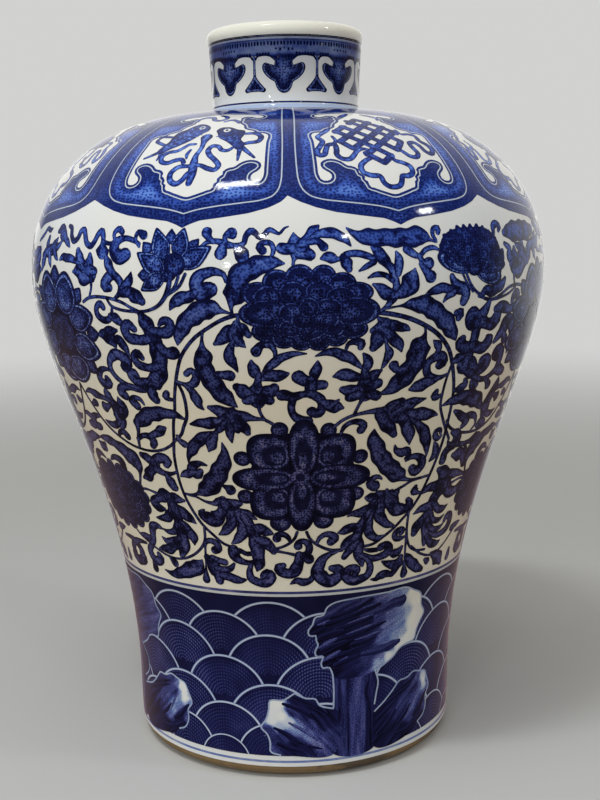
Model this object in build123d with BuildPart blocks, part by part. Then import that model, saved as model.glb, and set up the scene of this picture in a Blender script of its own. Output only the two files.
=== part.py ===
"""Meiping: a tall porcelain vase with full shoulders, a small neck and a narrow foot.

The body is thrown as four rings of clay, luted end to end with slip, turned on the wheel, painted
and glazed. All sizes are in millimetres, +Z is up, and the origin is the centre of the foot ring's
resting face. Every piece is a turned ring, drawn as a section of (radius, height) and revolved.
"""

import os
from math import acos, degrees

from build123d import *

# Foot: a turned ring with a bare bevelled edge round a glazed recess
foot_tuck = 0.4
foot_edge_height = 4.8
foot_bevel_width = 6.4
foot_bevel_bulge = 9.0
foot_contact_width = 6.0
recess_draft = 2.6
recess_depth = 6.5
recess_corner_radius = 2.5
floor_thickness = 8.0

# Outer line of the clay, from the foot's edge up to the neck; each pull is the length of a curve's
# end handle, so a longer pull keeps the wall upright or flat for longer
waist_radius = 77.4
waist_rise = 16.2
belly_radius = 122.6
belly_rise = 206.0
shoulder_rise = 73.6
waist_pull = 100.6
under_belly_pull = 44.7
over_belly_pull = 41.9
shoulder_pull = 53.6

# Neck: a short, slightly flaring pipe with a rolled lip that stands out a little beyond it
neck_height = 39.0
neck_base_radius = 34.5
neck_flare = 1.3
neck_wall = 4.5
neck_fillet = 4.4
throat_radius = 8.0
lip_overhang = 1.0
lip_half_width = 2.8
lip_half_height = 3.4

# Walls, and the inner line's own pulls, which keep the wall even
lower_wall = 5.6
belly_wall = 5.4
shoulder_wall = 5.4
floor_corner_radius = 12.0
cavity_waist_pull = 96.0
cavity_under_belly_pull = 42.8
cavity_over_belly_pull = 40.1
cavity_shoulder_pull = 48.9

# Luted joints: bevelled seams filled with slip
lower_seam_rise = 68.0
seam_bevel_slope = 0.5
slip_thickness = 0.8

# Glaze coat, the same inside and out, and the hairline kept between it and the clay
glaze_thickness = 0.4
glaze_clearance = 0.05

# Heights and radii that follow from the sizes above
foot_edge_radius = waist_radius - foot_tuck
foot_contact_radius = foot_edge_radius - foot_bevel_width
ring_inner_radius = foot_contact_radius - foot_contact_width
recess_radius = ring_inner_radius - recess_draft
recess_floor_radius = recess_radius - recess_corner_radius
floor_height = recess_depth + floor_thickness
waist_height = foot_edge_height + waist_rise
lower_seam_height = waist_height + lower_seam_rise
belly_height = waist_height + belly_rise
shoulder_height = belly_height + shoulder_rise
neck_seam_height = shoulder_height + neck_fillet
neck_top_radius = neck_base_radius + neck_flare
neck_bore_radius = neck_base_radius - neck_wall
lip_crest_radius = neck_top_radius + lip_overhang - lip_half_width
lip_crest_height = shoulder_height + neck_height
lip_centre = (lip_crest_radius, lip_crest_height - lip_half_height)
half_slip = slip_thickness / 2
glaze_face = glaze_clearance + glaze_thickness
beyond_wall = 2 * belly_radius
beyond_lip = 2 * lip_crest_height


def outer_line(coat):
    """Draw the outside from the foot's edge up to the lip's crest, a coat's thickness off the clay."""
    waist = (waist_radius + coat, waist_height)
    belly = (belly_radius + coat, belly_height)
    shoulder = (neck_base_radius + neck_fillet, shoulder_height + coat)
    lip_root_angle = degrees(acos((lip_half_width - lip_overhang + coat) / (lip_half_width + coat)))
    Line((foot_edge_radius + coat, foot_edge_height), waist)
    Bezier(
        waist,
        (waist[0], waist_height + waist_pull),
        (belly[0], belly_height - under_belly_pull),
        belly,
    )
    Bezier(
        belly,
        (belly[0], belly_height + over_belly_pull),
        (shoulder[0] + shoulder_pull, shoulder[1]),
        shoulder,
    )
    neck_foot = CenterArc((shoulder[0], neck_seam_height), neck_fillet - coat, 270, -90)
    lip = EllipticalCenterArc(
        lip_centre,
        x_radius=lip_half_width + coat,
        y_radius=lip_half_height + coat,
        start_angle=-lip_root_angle,
        arc_size=90 + lip_root_angle,
    )
    Line(neck_foot @ 1, lip @ 0)


def inner_line(coat):
    """Draw the inside from the lip's crest down to the centre of the floor, a coat inside the clay."""
    throat_centre = (neck_bore_radius + throat_radius, shoulder_height - shoulder_wall + throat_radius)
    corner_centre = (
        waist_radius - lower_wall - floor_corner_radius,
        floor_height + floor_corner_radius,
    )
    belly = (belly_radius - belly_wall - coat, belly_height)
    lip = EllipticalCenterArc(
        lip_centre,
        x_radius=lip_crest_radius - neck_bore_radius + coat,
        y_radius=lip_half_height + coat,
        start_angle=90,
        arc_size=90,
    )
    throat = CenterArc(throat_centre, throat_radius + coat, 180, 90)
    Line(lip @ 1, throat @ 0)
    shoulder = throat @ 1
    Bezier(
        shoulder,
        (shoulder.X + cavity_shoulder_pull, shoulder.Y),
        (belly[0], belly_height + cavity_over_belly_pull),
        belly,
    )
    floor_corner = CenterArc(corner_centre, floor_corner_radius - coat, 0, -90)
    waist = floor_corner @ 0
    Bezier(
        belly,
        (belly[0], belly_height - cavity_under_belly_pull),
        (waist.X, waist.Y + cavity_waist_pull),
        waist,
    )
    Line(floor_corner @ 1, (0, floor_height + coat))


def foot_line():
    """Draw the underside from the centre of the base out over the foot ring to its bare edge."""
    recess_corner_centre = (recess_floor_radius, recess_depth - recess_corner_radius)
    Line((0, floor_height), (0, recess_depth))
    Line((0, recess_depth), (recess_floor_radius, recess_depth))
    recess_corner = CenterArc(recess_corner_centre, recess_corner_radius, 90, -90)
    Line(recess_corner @ 1, (ring_inner_radius, 0))
    Line((ring_inner_radius, 0), (foot_contact_radius, 0))
    RadiusArc((foot_contact_radius, 0), (foot_edge_radius, foot_edge_height), -foot_bevel_bulge)


def seam_heights(outer_height, outer_radius, slope):
    """Heights of a seam's line at the axis and beyond the wall; a slope makes it rise inwards."""
    at_axis = outer_height + slope * outer_radius
    return at_axis, at_axis - slope * beyond_wall


lower_seam = seam_heights(lower_seam_height, waist_radius, seam_bevel_slope)
belly_seam = seam_heights(belly_height, belly_radius, seam_bevel_slope)
neck_seam = seam_heights(neck_seam_height, neck_base_radius, 0)
below_foot = (-beyond_lip, -beyond_lip)
above_lip = (beyond_lip, beyond_lip)

# Rings of the clay wall, each between two seams and half a slip's thickness clear of them, and the
# slip that fills each seam, which reaches the same half thickness to either side of it
wall_bands = {
    "lower_section": (below_foot, lower_seam, half_slip),
    "middle_section": (lower_seam, belly_seam, half_slip),
    "shoulder_section": (belly_seam, neck_seam, half_slip),
    "neck_section": (neck_seam, above_lip, half_slip),
    "lower_seam_slip": (lower_seam, lower_seam, -half_slip),
    "belly_seam_slip": (belly_seam, belly_seam, -half_slip),
    "neck_seam_slip": (neck_seam, neck_seam, -half_slip),
}

pieces = {}
for name, (lower, upper, clear) in wall_bands.items():
    with BuildPart() as wall_ring:
        with BuildSketch(Plane.XZ):
            with BuildLine():
                foot_line()
                outer_line(0)
                inner_line(0)
            make_face()
            with BuildLine():
                Polyline(
                    (0, lower[0] + clear),
                    (beyond_wall, lower[1] + clear),
                    (beyond_wall, upper[1] - clear),
                    (0, upper[0] - clear),
                    close=True,
                )
            make_face(mode=Mode.INTERSECT)
        revolve(axis=Axis.Z)
    pieces[name] = wall_ring

glaze_back_at_lip = (lip_crest_radius, lip_crest_height + glaze_clearance)
glaze_face_at_lip = (lip_crest_radius, lip_crest_height + glaze_face)

# Outer glaze: the glassy coat from the foot's bare edge up to the lip's crest
with BuildPart() as outer_glaze:
    with BuildSketch(Plane.XZ):
        with BuildLine():
            outer_line(glaze_clearance)
            outer_line(glaze_face)
            Line(
                (foot_edge_radius + glaze_clearance, foot_edge_height),
                (foot_edge_radius + glaze_face, foot_edge_height),
            )
            Line(glaze_back_at_lip, glaze_face_at_lip)
        make_face()
    revolve(axis=Axis.Z)
pieces["outer_glaze"] = outer_glaze

# Inner glaze: the coat poured inside, from the lip's crest down over the floor
with BuildPart() as inner_glaze:
    with BuildSketch(Plane.XZ):
        with BuildLine():
            inner_line(glaze_clearance)
            inner_line(glaze_face)
            Line((0, floor_height + glaze_clearance), (0, floor_height + glaze_face))
            Line(glaze_back_at_lip, glaze_face_at_lip)
        make_face()
    revolve(axis=Axis.Z)
pieces["inner_glaze"] = inner_glaze

# Base glaze: the disc of glaze in the recess inside the bare foot ring
with BuildPart() as base_glaze:
    with BuildSketch(Plane.XY.offset(recess_depth - glaze_face)):
        Circle(recess_floor_radius)
    extrude(amount=glaze_thickness)
pieces["base_glaze"] = base_glaze

os.makedirs("parts", exist_ok=True)
for name, piece in pieces.items():
    piece.part.label = name
    export_step(piece.part, f"parts/{name}.step")
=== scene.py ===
import math
import random

import bpy
import numpy as np
from mathutils import Matrix, Vector
from mathutils.geometry import delaunay_2d_cdt


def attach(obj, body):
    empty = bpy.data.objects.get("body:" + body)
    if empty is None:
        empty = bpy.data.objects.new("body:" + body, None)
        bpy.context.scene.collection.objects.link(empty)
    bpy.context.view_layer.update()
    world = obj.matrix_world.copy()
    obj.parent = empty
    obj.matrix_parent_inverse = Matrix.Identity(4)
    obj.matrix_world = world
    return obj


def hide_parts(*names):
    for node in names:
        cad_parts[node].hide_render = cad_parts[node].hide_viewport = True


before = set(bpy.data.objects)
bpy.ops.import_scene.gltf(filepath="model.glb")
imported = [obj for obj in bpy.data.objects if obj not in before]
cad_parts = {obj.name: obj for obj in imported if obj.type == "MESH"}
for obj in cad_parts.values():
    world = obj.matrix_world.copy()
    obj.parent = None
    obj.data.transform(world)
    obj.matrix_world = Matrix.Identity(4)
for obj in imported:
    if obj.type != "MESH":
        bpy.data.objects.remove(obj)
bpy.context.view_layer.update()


# Clay body: porcelain thrown in four sections and luted with slip along bevelled seams.
# The glaze hides it all but the foot ring, wiped clean before firing, which came out of
# the kiln as a dry brown biscuit, sooty in places and warmer beside the glaze.
class Tint:
    """A socket in the node tree of a finish; sums and products of sockets are plain Python."""

    def __init__(self, tree, socket=None):
        self.tree = tree
        self.socket = socket

    def add(self, kind, settings=None, inputs=None, output=0):
        node = self.tree.nodes.new("ShaderNode" + kind)
        for name, value in (settings or {}).items():
            if name == "stops":
                stops = node.color_ramp.elements
                while len(stops) < len(value):
                    stops.new(1.0)
                for stop, (place, colour) in zip(stops, value):
                    stop.position = place
                    stop.color = (*colour, 1.0)
            else:
                setattr(node, name, value)
        for name, value in (inputs or {}).items():
            if isinstance(value, Tint):
                self.tree.links.new(value.socket, node.inputs[name])
            else:
                node.inputs[name].default_value = value
        return Tint(self.tree, node.outputs[output])

    def maths(self, operation, *values):
        return self.add("Math", {"operation": operation}, dict(enumerate(values)))

    def __add__(self, other):
        return self.maths("ADD", self, other)

    def __sub__(self, other):
        return self.maths("SUBTRACT", self, other)

    def __rsub__(self, other):
        return self.maths("SUBTRACT", other, self)

    def __mul__(self, other):
        return self.maths("MULTIPLY", self, other)

    __radd__ = __add__
    __rmul__ = __mul__

    def axis(self, name):
        """The X, Y or Z of a place."""
        return self.add("SeparateXYZ", None, {0: self}, name)

    def rise_between(self, low, high):
        """0 below low and 1 above high, with a smooth rise between them."""
        return self.add("MapRange", {"interpolation_type": "SMOOTHSTEP"},
                        {"Value": self, "From Min": low, "From Max": high})

    def between(self, first, second):
        """Colour that goes from first to second as this value goes from 0 to 1."""
        return self.add("Mix", {"data_type": "RGBA"}, {0: self, 6: first, 7: second}, 2)

    def noise(self, scale, detail=2.0, rough=0.5):
        return self.add("TexNoise", None,
                        {"Vector": self, "Scale": scale, "Detail": detail, "Roughness": rough})


relief_height = 0.0004


def finish_of(name, roughness, specular, colour_of, relief_of, relief_strength):
    """A fired surface whose colour and fine relief are worked out from its own place."""
    finish = bpy.data.materials.new(name)
    finish.use_nodes = True
    tree = finish.node_tree
    shader = tree.nodes["Principled BSDF"]
    place = Tint(tree).add("TexCoord", output="Object")
    tree.links.new(colour_of(place).socket, shader.inputs["Base Color"])
    shader.inputs["Specular IOR Level"].default_value = specular
    if callable(roughness):
        tree.links.new(roughness(place).socket, shader.inputs["Roughness"])
    else:
        shader.inputs["Roughness"].default_value = roughness
    relief = place.add("Bump", None, {"Height": relief_of(place), "Strength": relief_strength,
                                      "Distance": relief_height})
    tree.links.new(relief.socket, shader.inputs["Normal"])
    return finish


def dress(names, finish):
    for name in names:
        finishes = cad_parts[name].data.materials
        finishes.clear()
        finishes.append(finish)


biscuit_roughness, biscuit_gloss, biscuit_relief = 0.82, 0.3, 0.5
biscuit_dark, biscuit_light = (0.17, 0.118, 0.056, 1), (0.32, 0.235, 0.125, 1)
kiln_blush, kiln_soot, grit_brown = (0.24, 0.14, 0.06, 1), (0.10, 0.075, 0.05, 1), (0.14, 0.09, 0.055, 1)


def biscuit_colour(place):
    clay = place.noise(60.0, 4.0).between(biscuit_dark, biscuit_light)
    blush = place.axis("Z").rise_between(0.0015, 0.0048) * place.noise(90.0, 3.0)
    soot = place.noise(38.0, 3.0, 0.6).rise_between(0.52, 0.60) * 0.85
    grit = place.noise(900.0, 2.0, 0.7).rise_between(0.62, 0.72)
    return grit.between(soot.between(blush.between(clay, kiln_blush), kiln_soot), grit_brown)


def biscuit_grain(place):
    return place.noise(1400.0, 3.0, 0.7)


biscuit = finish_of("bare_biscuit", biscuit_roughness, biscuit_gloss, biscuit_colour, biscuit_grain,
                    biscuit_relief)
dress(("lower_section", "middle_section", "shoulder_section", "neck_section",
       "lower_seam_slip", "belly_seam_slip", "neck_seam_slip"), biscuit)


# Plain glaze: the clear coat poured through the inside and brushed under the base. It is
# glassy, a white that drifts between ivory and faint blue, with a soft ripple and stray pinholes.
glaze_gloss, glaze_relief = 0.25, 0.12
glaze_white = (0.770, 0.762, 0.732, 1)
glaze_cool = (0.735, 0.750, 0.748, 1)
pinhole_brown = (0.20, 0.15, 0.10, 1)


def glaze_colour(place):
    body = place.noise(14.0, 3.0).rise_between(0.35, 0.7).between(glaze_white, glaze_cool)
    cells = place.add("TexVoronoi", None, {"Vector": place, "Scale": 95.0}, "Distance")
    stray = place.noise(23.0).rise_between(0.60, 0.66)
    pin = (1 - cells.rise_between(0.035, 0.06)) * stray
    return pin.between(body, pinhole_brown)


def glazed(name, colour_of):
    """Any finish under the clear coat, which gives it its gloss and ripple."""
    def roughness(place):
        return 0.05 + place.noise(35.0, 3.0) * 0.04

    def ripple(place):
        return place.noise(120.0, 2.0) + place.noise(560.0, 2.0) * 0.45

    return finish_of(name, roughness, glaze_gloss, colour_of, ripple, glaze_relief)


dress(("inner_glaze", "base_glaze"), glazed("plain_glaze", glaze_colour))


# Outer glaze: the same clear coat over the whole outside, from the lip's crest to a wiped
# edge just above the foot. The skin is turned from the body's own curves, a hair proud of
# the clay, and it gathers to a pale blue pool in the angle under the neck. Its colour also
# carries painted light: a warm cast round the waist, partly the glaze's own ivory and partly
# a painted reflection of the table, and a painted highlight along the lip.
mm = 0.001
# Points on the outside are (radius, height) in mm.
foot_contact = (70.6, 0.0)
foot_edge = (77.45, 4.8)
waist, waist_pull = (77.85, 21.0), (77.85, 121.6)
belly, belly_pull_down, belly_pull_up = (123.05, 227.0), (123.05, 182.3), (123.05, 268.9)
shoulder_end, shoulder_pull = (38.9, 301.05), (92.5, 301.05)
neck_fillet = 3.95
lip_centre = (34.0, 336.2)
lip_half = (3.25, 3.85)
lip_start = math.radians(-46.2)
glaze_edge, edge_tuck, edge_sink = 9.9, 0.3, 0.4
pool_blue = (0.33, 0.43, 0.63, 1)
map_margin = 0.01


def pulled_curve(first, first_pull, last_pull, last, count):
    """Points on a curve between two ends, each with the point that pulls it out of the straight."""
    t = np.linspace(0.0, 1.0, count)[:, None]
    first, first_pull, last_pull, last = map(np.array, (first, first_pull, last_pull, last))
    return ((1 - t) ** 3 * first + 3 * (1 - t) ** 2 * t * first_pull
            + 3 * (1 - t) * t ** 2 * last_pull + t ** 3 * last)


fillet_turn = np.linspace(1.5 * math.pi, math.pi, 24)
lip_turn = np.linspace(lip_start, 0.5 * math.pi, 40)
wall_points = np.concatenate([
    np.linspace(foot_contact, foot_edge, 12),
    np.linspace(foot_edge, waist, 20)[1:],
    pulled_curve(waist, waist_pull, belly_pull_down, belly, 400)[1:],
    pulled_curve(belly, belly_pull_up, shoulder_pull, shoulder_end, 300)[1:],
    np.stack([shoulder_end[0] + neck_fillet * np.cos(fillet_turn),
              shoulder_end[1] + neck_fillet + neck_fillet * np.sin(fillet_turn)], 1)[1:],
    np.stack([lip_centre[0] + lip_half[0] * np.cos(lip_turn),
              lip_centre[1] + lip_half[1] * np.sin(lip_turn)], 1),
])
wall_radius, wall_height = wall_points.T
wall_run = np.concatenate([[0.0], np.cumsum(np.hypot(np.diff(wall_radius), np.diff(wall_height)))])
slope_r = np.gradient(wall_radius, wall_run)
slope_z = np.gradient(wall_height, wall_run)


def on_wall(turn, rise, lift):
    """Places in metres and outward directions at turn (degrees to the right of the front) and
    rise (mm up along the wall from the foot), lifted off the glaze by lift mm."""
    radius = np.interp(rise, wall_run, wall_radius)
    height = np.interp(rise, wall_run, wall_height)
    out_r = np.interp(rise, wall_run, slope_z)
    out_z = -np.interp(rise, wall_run, slope_r)
    size = np.hypot(out_r, out_z)
    out_r, out_z = out_r / size, out_z / size
    radius, height = radius + lift * out_r, height + lift * out_z
    around, ahead = np.sin(np.radians(turn)), -np.cos(np.radians(turn))
    places = np.stack([radius * around, radius * ahead, height], -1) * mm
    return places, np.stack([out_r * around, out_r * ahead, out_z], -1)


def wall_mesh(name, places, outward, faces, finish):
    """One piece of the outside, shaded by the wall's own directions."""
    mesh = bpy.data.meshes.new(name)
    mesh.from_pydata(places.tolist(), [], faces)
    mesh.polygons.foreach_set("use_smooth", [True] * len(mesh.polygons))
    mesh.normals_split_custom_set_from_vertices(outward.tolist())
    mesh.materials.append(finish)
    piece = bpy.data.objects.new(name, mesh)
    bpy.context.scene.collection.objects.link(piece)
    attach(piece, "root")
    return piece


def lay_map(mesh, flat):
    """Gives every point of a mesh its place on the flat map."""
    corner = np.empty(len(mesh.loops), np.int32)
    mesh.loops.foreach_get("vertex_index", corner)
    mesh.uv_layers.new(name="OFBake").data.foreach_set("uv", flat[corner].ravel())


def grid_faces(rows, columns):
    at = np.arange(rows * columns).reshape(rows, columns)
    quads = np.stack([at[:-1, :-1], at[:-1, 1:], at[1:, 1:], at[1:, :-1]], -1)
    return quads.reshape(-1, 4).tolist()


def cast(place, colour, *veils):
    """Lays casts of colour in the clear coat over what is under it, each with its strength."""
    for strength, veil in veils:
        tone = strength.between((1, 1, 1, 1), veil)
        colour = place.add("Mix", {"data_type": "RGBA", "blend_type": "MULTIPLY"},
                           {0: 1.0, 6: colour, 7: tone}, 2)
    return colour


# Ivory and painted reflection: a warm cast round the waist, partly the glaze's own ivory and partly a painted
# reflection of the warm table below.
def ivory_and_warm_reflection(height):
    return height.rise_between(0.045, 0.115) * (1 - height.rise_between(0.165, 0.245)), (0.95, 0.85, 0.675, 1)


def outer_colour(place):
    height = place.axis("Z")
    neck_ivory = height.rise_between(0.3060, 0.3100), (1.0, 0.985, 0.945, 1)
    # Painted highlight: the lip's crest is made lighter, as if a bright window showed in it.
    painted_lip_highlight = height.rise_between(0.3310, 0.3345), (1.09, 1.06, 0.97, 1)
    body = cast(place, glaze_colour(place), ivory_and_warm_reflection(height), neck_ivory, painted_lip_highlight)
    pool = height.rise_between(0.2998, 0.3012) * (1 - height.rise_between(0.3030, 0.3046))
    return (pool * 0.9).between(body, pool_blue)


skin_rise = np.concatenate([[glaze_edge - edge_tuck], np.linspace(glaze_edge, 340.0, 170),
                            np.linspace(340.5, 392.0, 60), np.linspace(392.3, wall_run[-1], 40)])
skin_turn = np.linspace(-180.0, 180.0, 289)
skin_turns, skin_rises = np.meshgrid(skin_turn, skin_rise)
skin_lift = np.zeros((len(skin_rise), 1))
skin_lift[0] = -edge_sink
skin_places, skin_outward = on_wall(skin_turns, skin_rises, skin_lift)
painted_glaze = glazed("painted_glaze", outer_colour)
skin = wall_mesh("outer_glaze_skin", skin_places.reshape(-1, 3), skin_outward.reshape(-1, 3),
                 grid_faces(len(skin_rise), len(skin_turn)), painted_glaze)
skin_flat = np.stack([skin_turns.ravel() / 360.0 + 0.5, skin_rises.ravel() / wall_run[-1]], 1)
lay_map(skin.data, map_margin + (1 - 2 * map_margin) * skin_flat)
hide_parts("outer_glaze")


# Ring lines: thin cobalt bands brushed round the pot as it turned on the wheel, at the foot,
# above the waves and on the neck. Cobalt goes on the raw clay and fires to blue under the
# glaze; here each brush mark is a thin net of points lying on the glazed wall.
cobalt_steps = [(0.0, (0.770, 0.762, 0.732)), (0.18, (0.46, 0.52, 0.63)), (0.38, (0.145, 0.215, 0.455)),
                (0.58, (0.037, 0.068, 0.275)), (0.78, (0.0065, 0.0115, 0.075)), (1.0, (0.0010, 0.0013, 0.012))]


def on_neck(height):
    return height.rise_between(0.3036, 0.3050)


def cobalt(name, heaping):
    """Blue under glaze; heaping says how the ink gathers, from the place and the stroke's grain."""
    def colour(place):
        ink = place.add("Attribute", {"attribute_name": "ink"}, None, "Fac")
        grain = place.add("Attribute", {"attribute_name": "grain"}, None, "Vector")
        height = place.axis("Z")
        neck = on_neck(height)
        total = ink + heaping(place, grain, ink)
        # Painted light: the darkest ink on the shoulder is lightened a little, as if lit from above.
        shoulder = height.rise_between(0.225, 0.262) * (1 - neck)
        total = total - total.rise_between(0.70, 1.0) * shoulder * 0.15
        blue = place.add("ValToRGB", {"stops": cobalt_steps}, {"Fac": total})
        washed = ink.rise_between(0.2, 0.45)
        # Painted reflection: a warm violet cast on the ink low on the body stands in for the warm table mirrored
        # in the glaze.
        painted_low_reflection = (1 - height.rise_between(0.14, 0.25)) * ink.rise_between(0.3, 0.6), (1.52, 0.96, 0.84, 1)
        # Painted light: the washes higher up are made paler and bluer, as if lit from above.
        painted_upper_light = height.rise_between(0.200, 0.275) * washed * (1 - neck), (1.0, 1.35, 1.62, 1)
        neck_grey = neck * (1 - ink.rise_between(0.62, 0.80)) * washed, (1.65, 1.38, 1.02, 1)
        return cast(place, blue, ivory_and_warm_reflection(height), painted_low_reflection, painted_upper_light, neck_grey)
    return glazed(name, colour)


def soft_pooling(place, grain, ink):
    fine, broad = place.noise(330.0, 3.0, 0.6) - 0.5, place.noise(60.0, 3.0) - 0.5
    return fine * (ink * 0.45) + broad * (ink * 0.9)


def smooth_path(marks, step, closed=False):
    """Evenly spaced points on a smooth line through the given ones."""
    marks = np.array(marks, float)
    if closed:
        marks = np.concatenate([marks[-3:], marks, marks[:4]])
    middle = 0.5 * (marks[1:] + marks[:-1])
    across = np.radians(np.diff(marks[:, 0])) * np.interp(middle[:, 1], wall_run, wall_radius)
    knots = np.concatenate([[0.0], np.cumsum(np.hypot(across, np.diff(marks[:, 1])) + 1e-6)])
    pull = np.gradient(marks, knots, axis=0)
    low, high = (knots[3], knots[-4]) if closed else (0.0, knots[-1])
    even = np.linspace(low, high, max(4, int(math.ceil((high - low) / step)) + 1))
    at = np.clip(np.searchsorted(knots, even, "right") - 1, 0, len(knots) - 2)
    gap = (knots[at + 1] - knots[at])[:, None]
    t = ((even - knots[at]) / gap[:, 0])[:, None]
    return ((2 * t ** 3 - 3 * t ** 2 + 1) * marks[at] + (t ** 3 - 2 * t ** 2 + t) * gap * pull[at]
            + (3 * t ** 2 - 2 * t ** 3) * marks[at + 1] + (t ** 3 - t ** 2) * gap * pull[at + 1])


blunt_half, thinnest, lump_pitch, lump_lag = 0.45, 0.1, 0.85, 2.2
map_gap, map_spare = 0.8, 1.12


class Brushwork:
    """Cobalt strokes gathered into one piece, turned round the vase as a whole, and each laid
    out once more flat beside the others on the piece's map."""

    def __init__(self, turned=0.0):
        self.turned = turned
        self.places, self.outward, self.inks, self.grains = [], [], [], []
        self.flats, self.faces, self.count = [], [], 0

    def lay(self, turn, rise, ink, lift, flat=None, grain=None, faces=None):
        """A net of points with their ink; flat is where they lie on the map and grain on the stroke."""
        turn, rise, ink, lift = np.broadcast_arrays(turn + self.turned, rise, ink, lift)
        places, outward = on_wall(turn, rise, lift)
        if flat is None:
            reach = np.interp(rise.mean(), wall_run, wall_radius)
            flat = np.stack([np.radians(turn) * reach, rise], -1)
        grain = flat if grain is None else grain
        self.places.append(places.reshape(-1, 3))
        self.outward.append(outward.reshape(-1, 3))
        self.inks.append(ink.ravel())
        self.grains.append(grain.reshape(-1, 2))
        self.flats.append(flat.reshape(-1, 2))
        faces = grid_faces(*turn.shape) if faces is None else faces
        seen = np.stack([np.radians(turn).ravel() * 100, rise.ravel()], 1)
        ring = seen[np.array(faces)]
        after = np.roll(ring, -1, 1)
        faced = (ring[..., 0] * after[..., 1] - ring[..., 1] * after[..., 0]).sum(1) > 0
        self.faces += [[self.count + corner for corner in (face if out else face[::-1])]
                       for face, out in zip(faces, faced)]
        self.count += turn.size

    def ring(self, rise, width, ink, lift):
        """A band all the way round."""
        turn, across = np.meshgrid(np.linspace(-180, 180, 241), [-0.5, 0.0, 0.5])
        self.lay(turn, rise + across * width, ink, lift)

    def ribbon(self, marks, body, rim, lift, step=1.2, lump=0.0, soft=False):
        """A stroke along marks of (turn, rise, width), full in the middle and rounded at blunt
        ends; lump swells its edges here and there, and a soft one fades into its rim."""
        turn, rise, width = smooth_path(marks, step).T
        half = np.maximum(width, thinnest) / 2
        reach = np.interp(rise, wall_run, wall_radius)
        ahead = np.stack([np.gradient(np.radians(turn)) * reach, np.gradient(rise)], 1)
        ahead /= np.hypot(*ahead.T)[:, None] + 1e-9
        base = np.stack([turn, rise], 1)
        steps = np.hypot(np.diff(turn) * np.radians(1) * reach[1:], np.diff(rise))
        run = np.concatenate([[0.0], np.cumsum(steps)])
        rows, halves, ways, runs = [base], [half], [ahead], [run]
        swing = np.array([0.35, 0.72, 0.95]) * math.pi / 2
        for end, sign in ((0, -1.0), (-1, 1.0)):
            if half[end] > blunt_half:
                out = np.sin(swing) * half[end] * sign
                beyond = np.stack([np.degrees(ahead[end, 0] * out / reach[end]), ahead[end, 1] * out], 1)
                extra = base[end] + beyond
                order = slice(None, None, -1) if end == 0 else slice(None)
                cap = (extra[order], (np.cos(swing) * half[end])[order], np.repeat(ahead[[end]], len(swing), 0),
                       (run[end] + out)[order])
                for store, part in zip((rows, halves, ways, runs), cap):
                    store.insert(0, part) if end == 0 else store.append(part)
        base, half, ahead, run = map(np.concatenate, (rows, halves, ways, runs))
        across = np.array([-1.0, -0.8, -0.52, 0.0, 0.52, 0.8, 1.0])
        edge = np.abs(across) ** 1.6 if soft else np.array([1.0, 0.9, 0.15, 0.0, 0.15, 0.9, 1.0])
        waver = np.sin(run[:, None] * lump_pitch + np.where(across > 0, 0.0, lump_lag))
        shift = half[:, None] * across * (1 + lump * np.clip(half - 1.2, 0, 1)[:, None] * waver)
        reach = np.interp(base[:, 1], wall_run, wall_radius)[:, None]
        self.lay(base[:, :1] + np.degrees(-ahead[:, 1:] * shift / reach), base[:, 1:] + ahead[:, :1] * shift,
                 body + (rim - body) * edge, lift, np.stack(np.broadcast_arrays(run[:, None], shift), -1))

    def blob(self, outline, rings, lift, step=1.2, smooth=True, heart=None):
        """A filled shape: rings gives (share of the way from heart to edge, ink)."""
        edge = smooth_path(outline, step, True) if smooth else np.array([*outline, outline[0]], float)
        heart = edge[:-1].mean(0) if heart is None else np.array(heart)
        share, ink = np.array(rings).T
        net = heart + share[:, None, None] * (edge - heart)
        self.lay(net[..., 0], net[..., 1], ink[:, None], lift)

    def line(self, marks, width, ink, lift, closed=False, step=1.5):
        marks = smooth_path(marks, step, True) if closed else marks
        self.ribbon([(*mark, width) for mark in marks], ink, ink, lift, step)

    def done(self, name, finish):
        """Makes the piece, and packs its strokes on the map in shelves, the tallest first."""
        piece = wall_mesh(name, np.concatenate(self.places), np.concatenate(self.outward), self.faces,
                          finish)
        mesh = piece.data
        mesh.attributes.new("ink", "FLOAT", "POINT").data.foreach_set("value", np.concatenate(self.inks))
        grain = np.concatenate(self.grains)
        mesh.attributes.new("grain", "FLOAT_VECTOR", "POINT").data.foreach_set(
            "vector", np.column_stack([grain, np.zeros(len(grain))]).ravel())
        flats = [flat - flat.min(0) for flat in self.flats]
        sizes = [flat.max(0) + map_gap for flat in flats]
        area = sum(size[0] * size[1] for size in sizes)
        wide = max(max(size[0] for size in sizes), math.sqrt(map_spare * area))
        x = y = shelf = 0.0
        for at in sorted(range(len(flats)), key=lambda i: -sizes[i][1]):
            if x + sizes[at][0] > wide:
                x, y, shelf = 0.0, y + shelf, 0.0
            flats[at] = flats[at] + (x + map_gap / 2, y + map_gap / 2)
            x, shelf = x + sizes[at][0], max(shelf, sizes[at][1])
        lay_map(mesh, np.concatenate(flats) / (max(wide, y + shelf) * 1.001))


first_coat, second_coat, third_coat, fourth_coat, fifth_coat = 0.05, 0.08, 0.11, 0.14, 0.17
ring_lines = [(12.2, 1.1, 0.37), (94.5, 1.3, 0.62), (93.2, 1.2, 0.14), (368.4, 0.8, 0.86), (397.4, 1.1, 0.95),
              (396.0, 1.6, 0.30)]
rings = Brushwork()
for ring_rise, ring_width, ring_ink in ring_lines:
    rings.ring(ring_rise, ring_width, ring_ink, first_coat)
cobalt_line = cobalt("cobalt_line", soft_pooling)
rings.done("ring_lines", cobalt_line)


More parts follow.
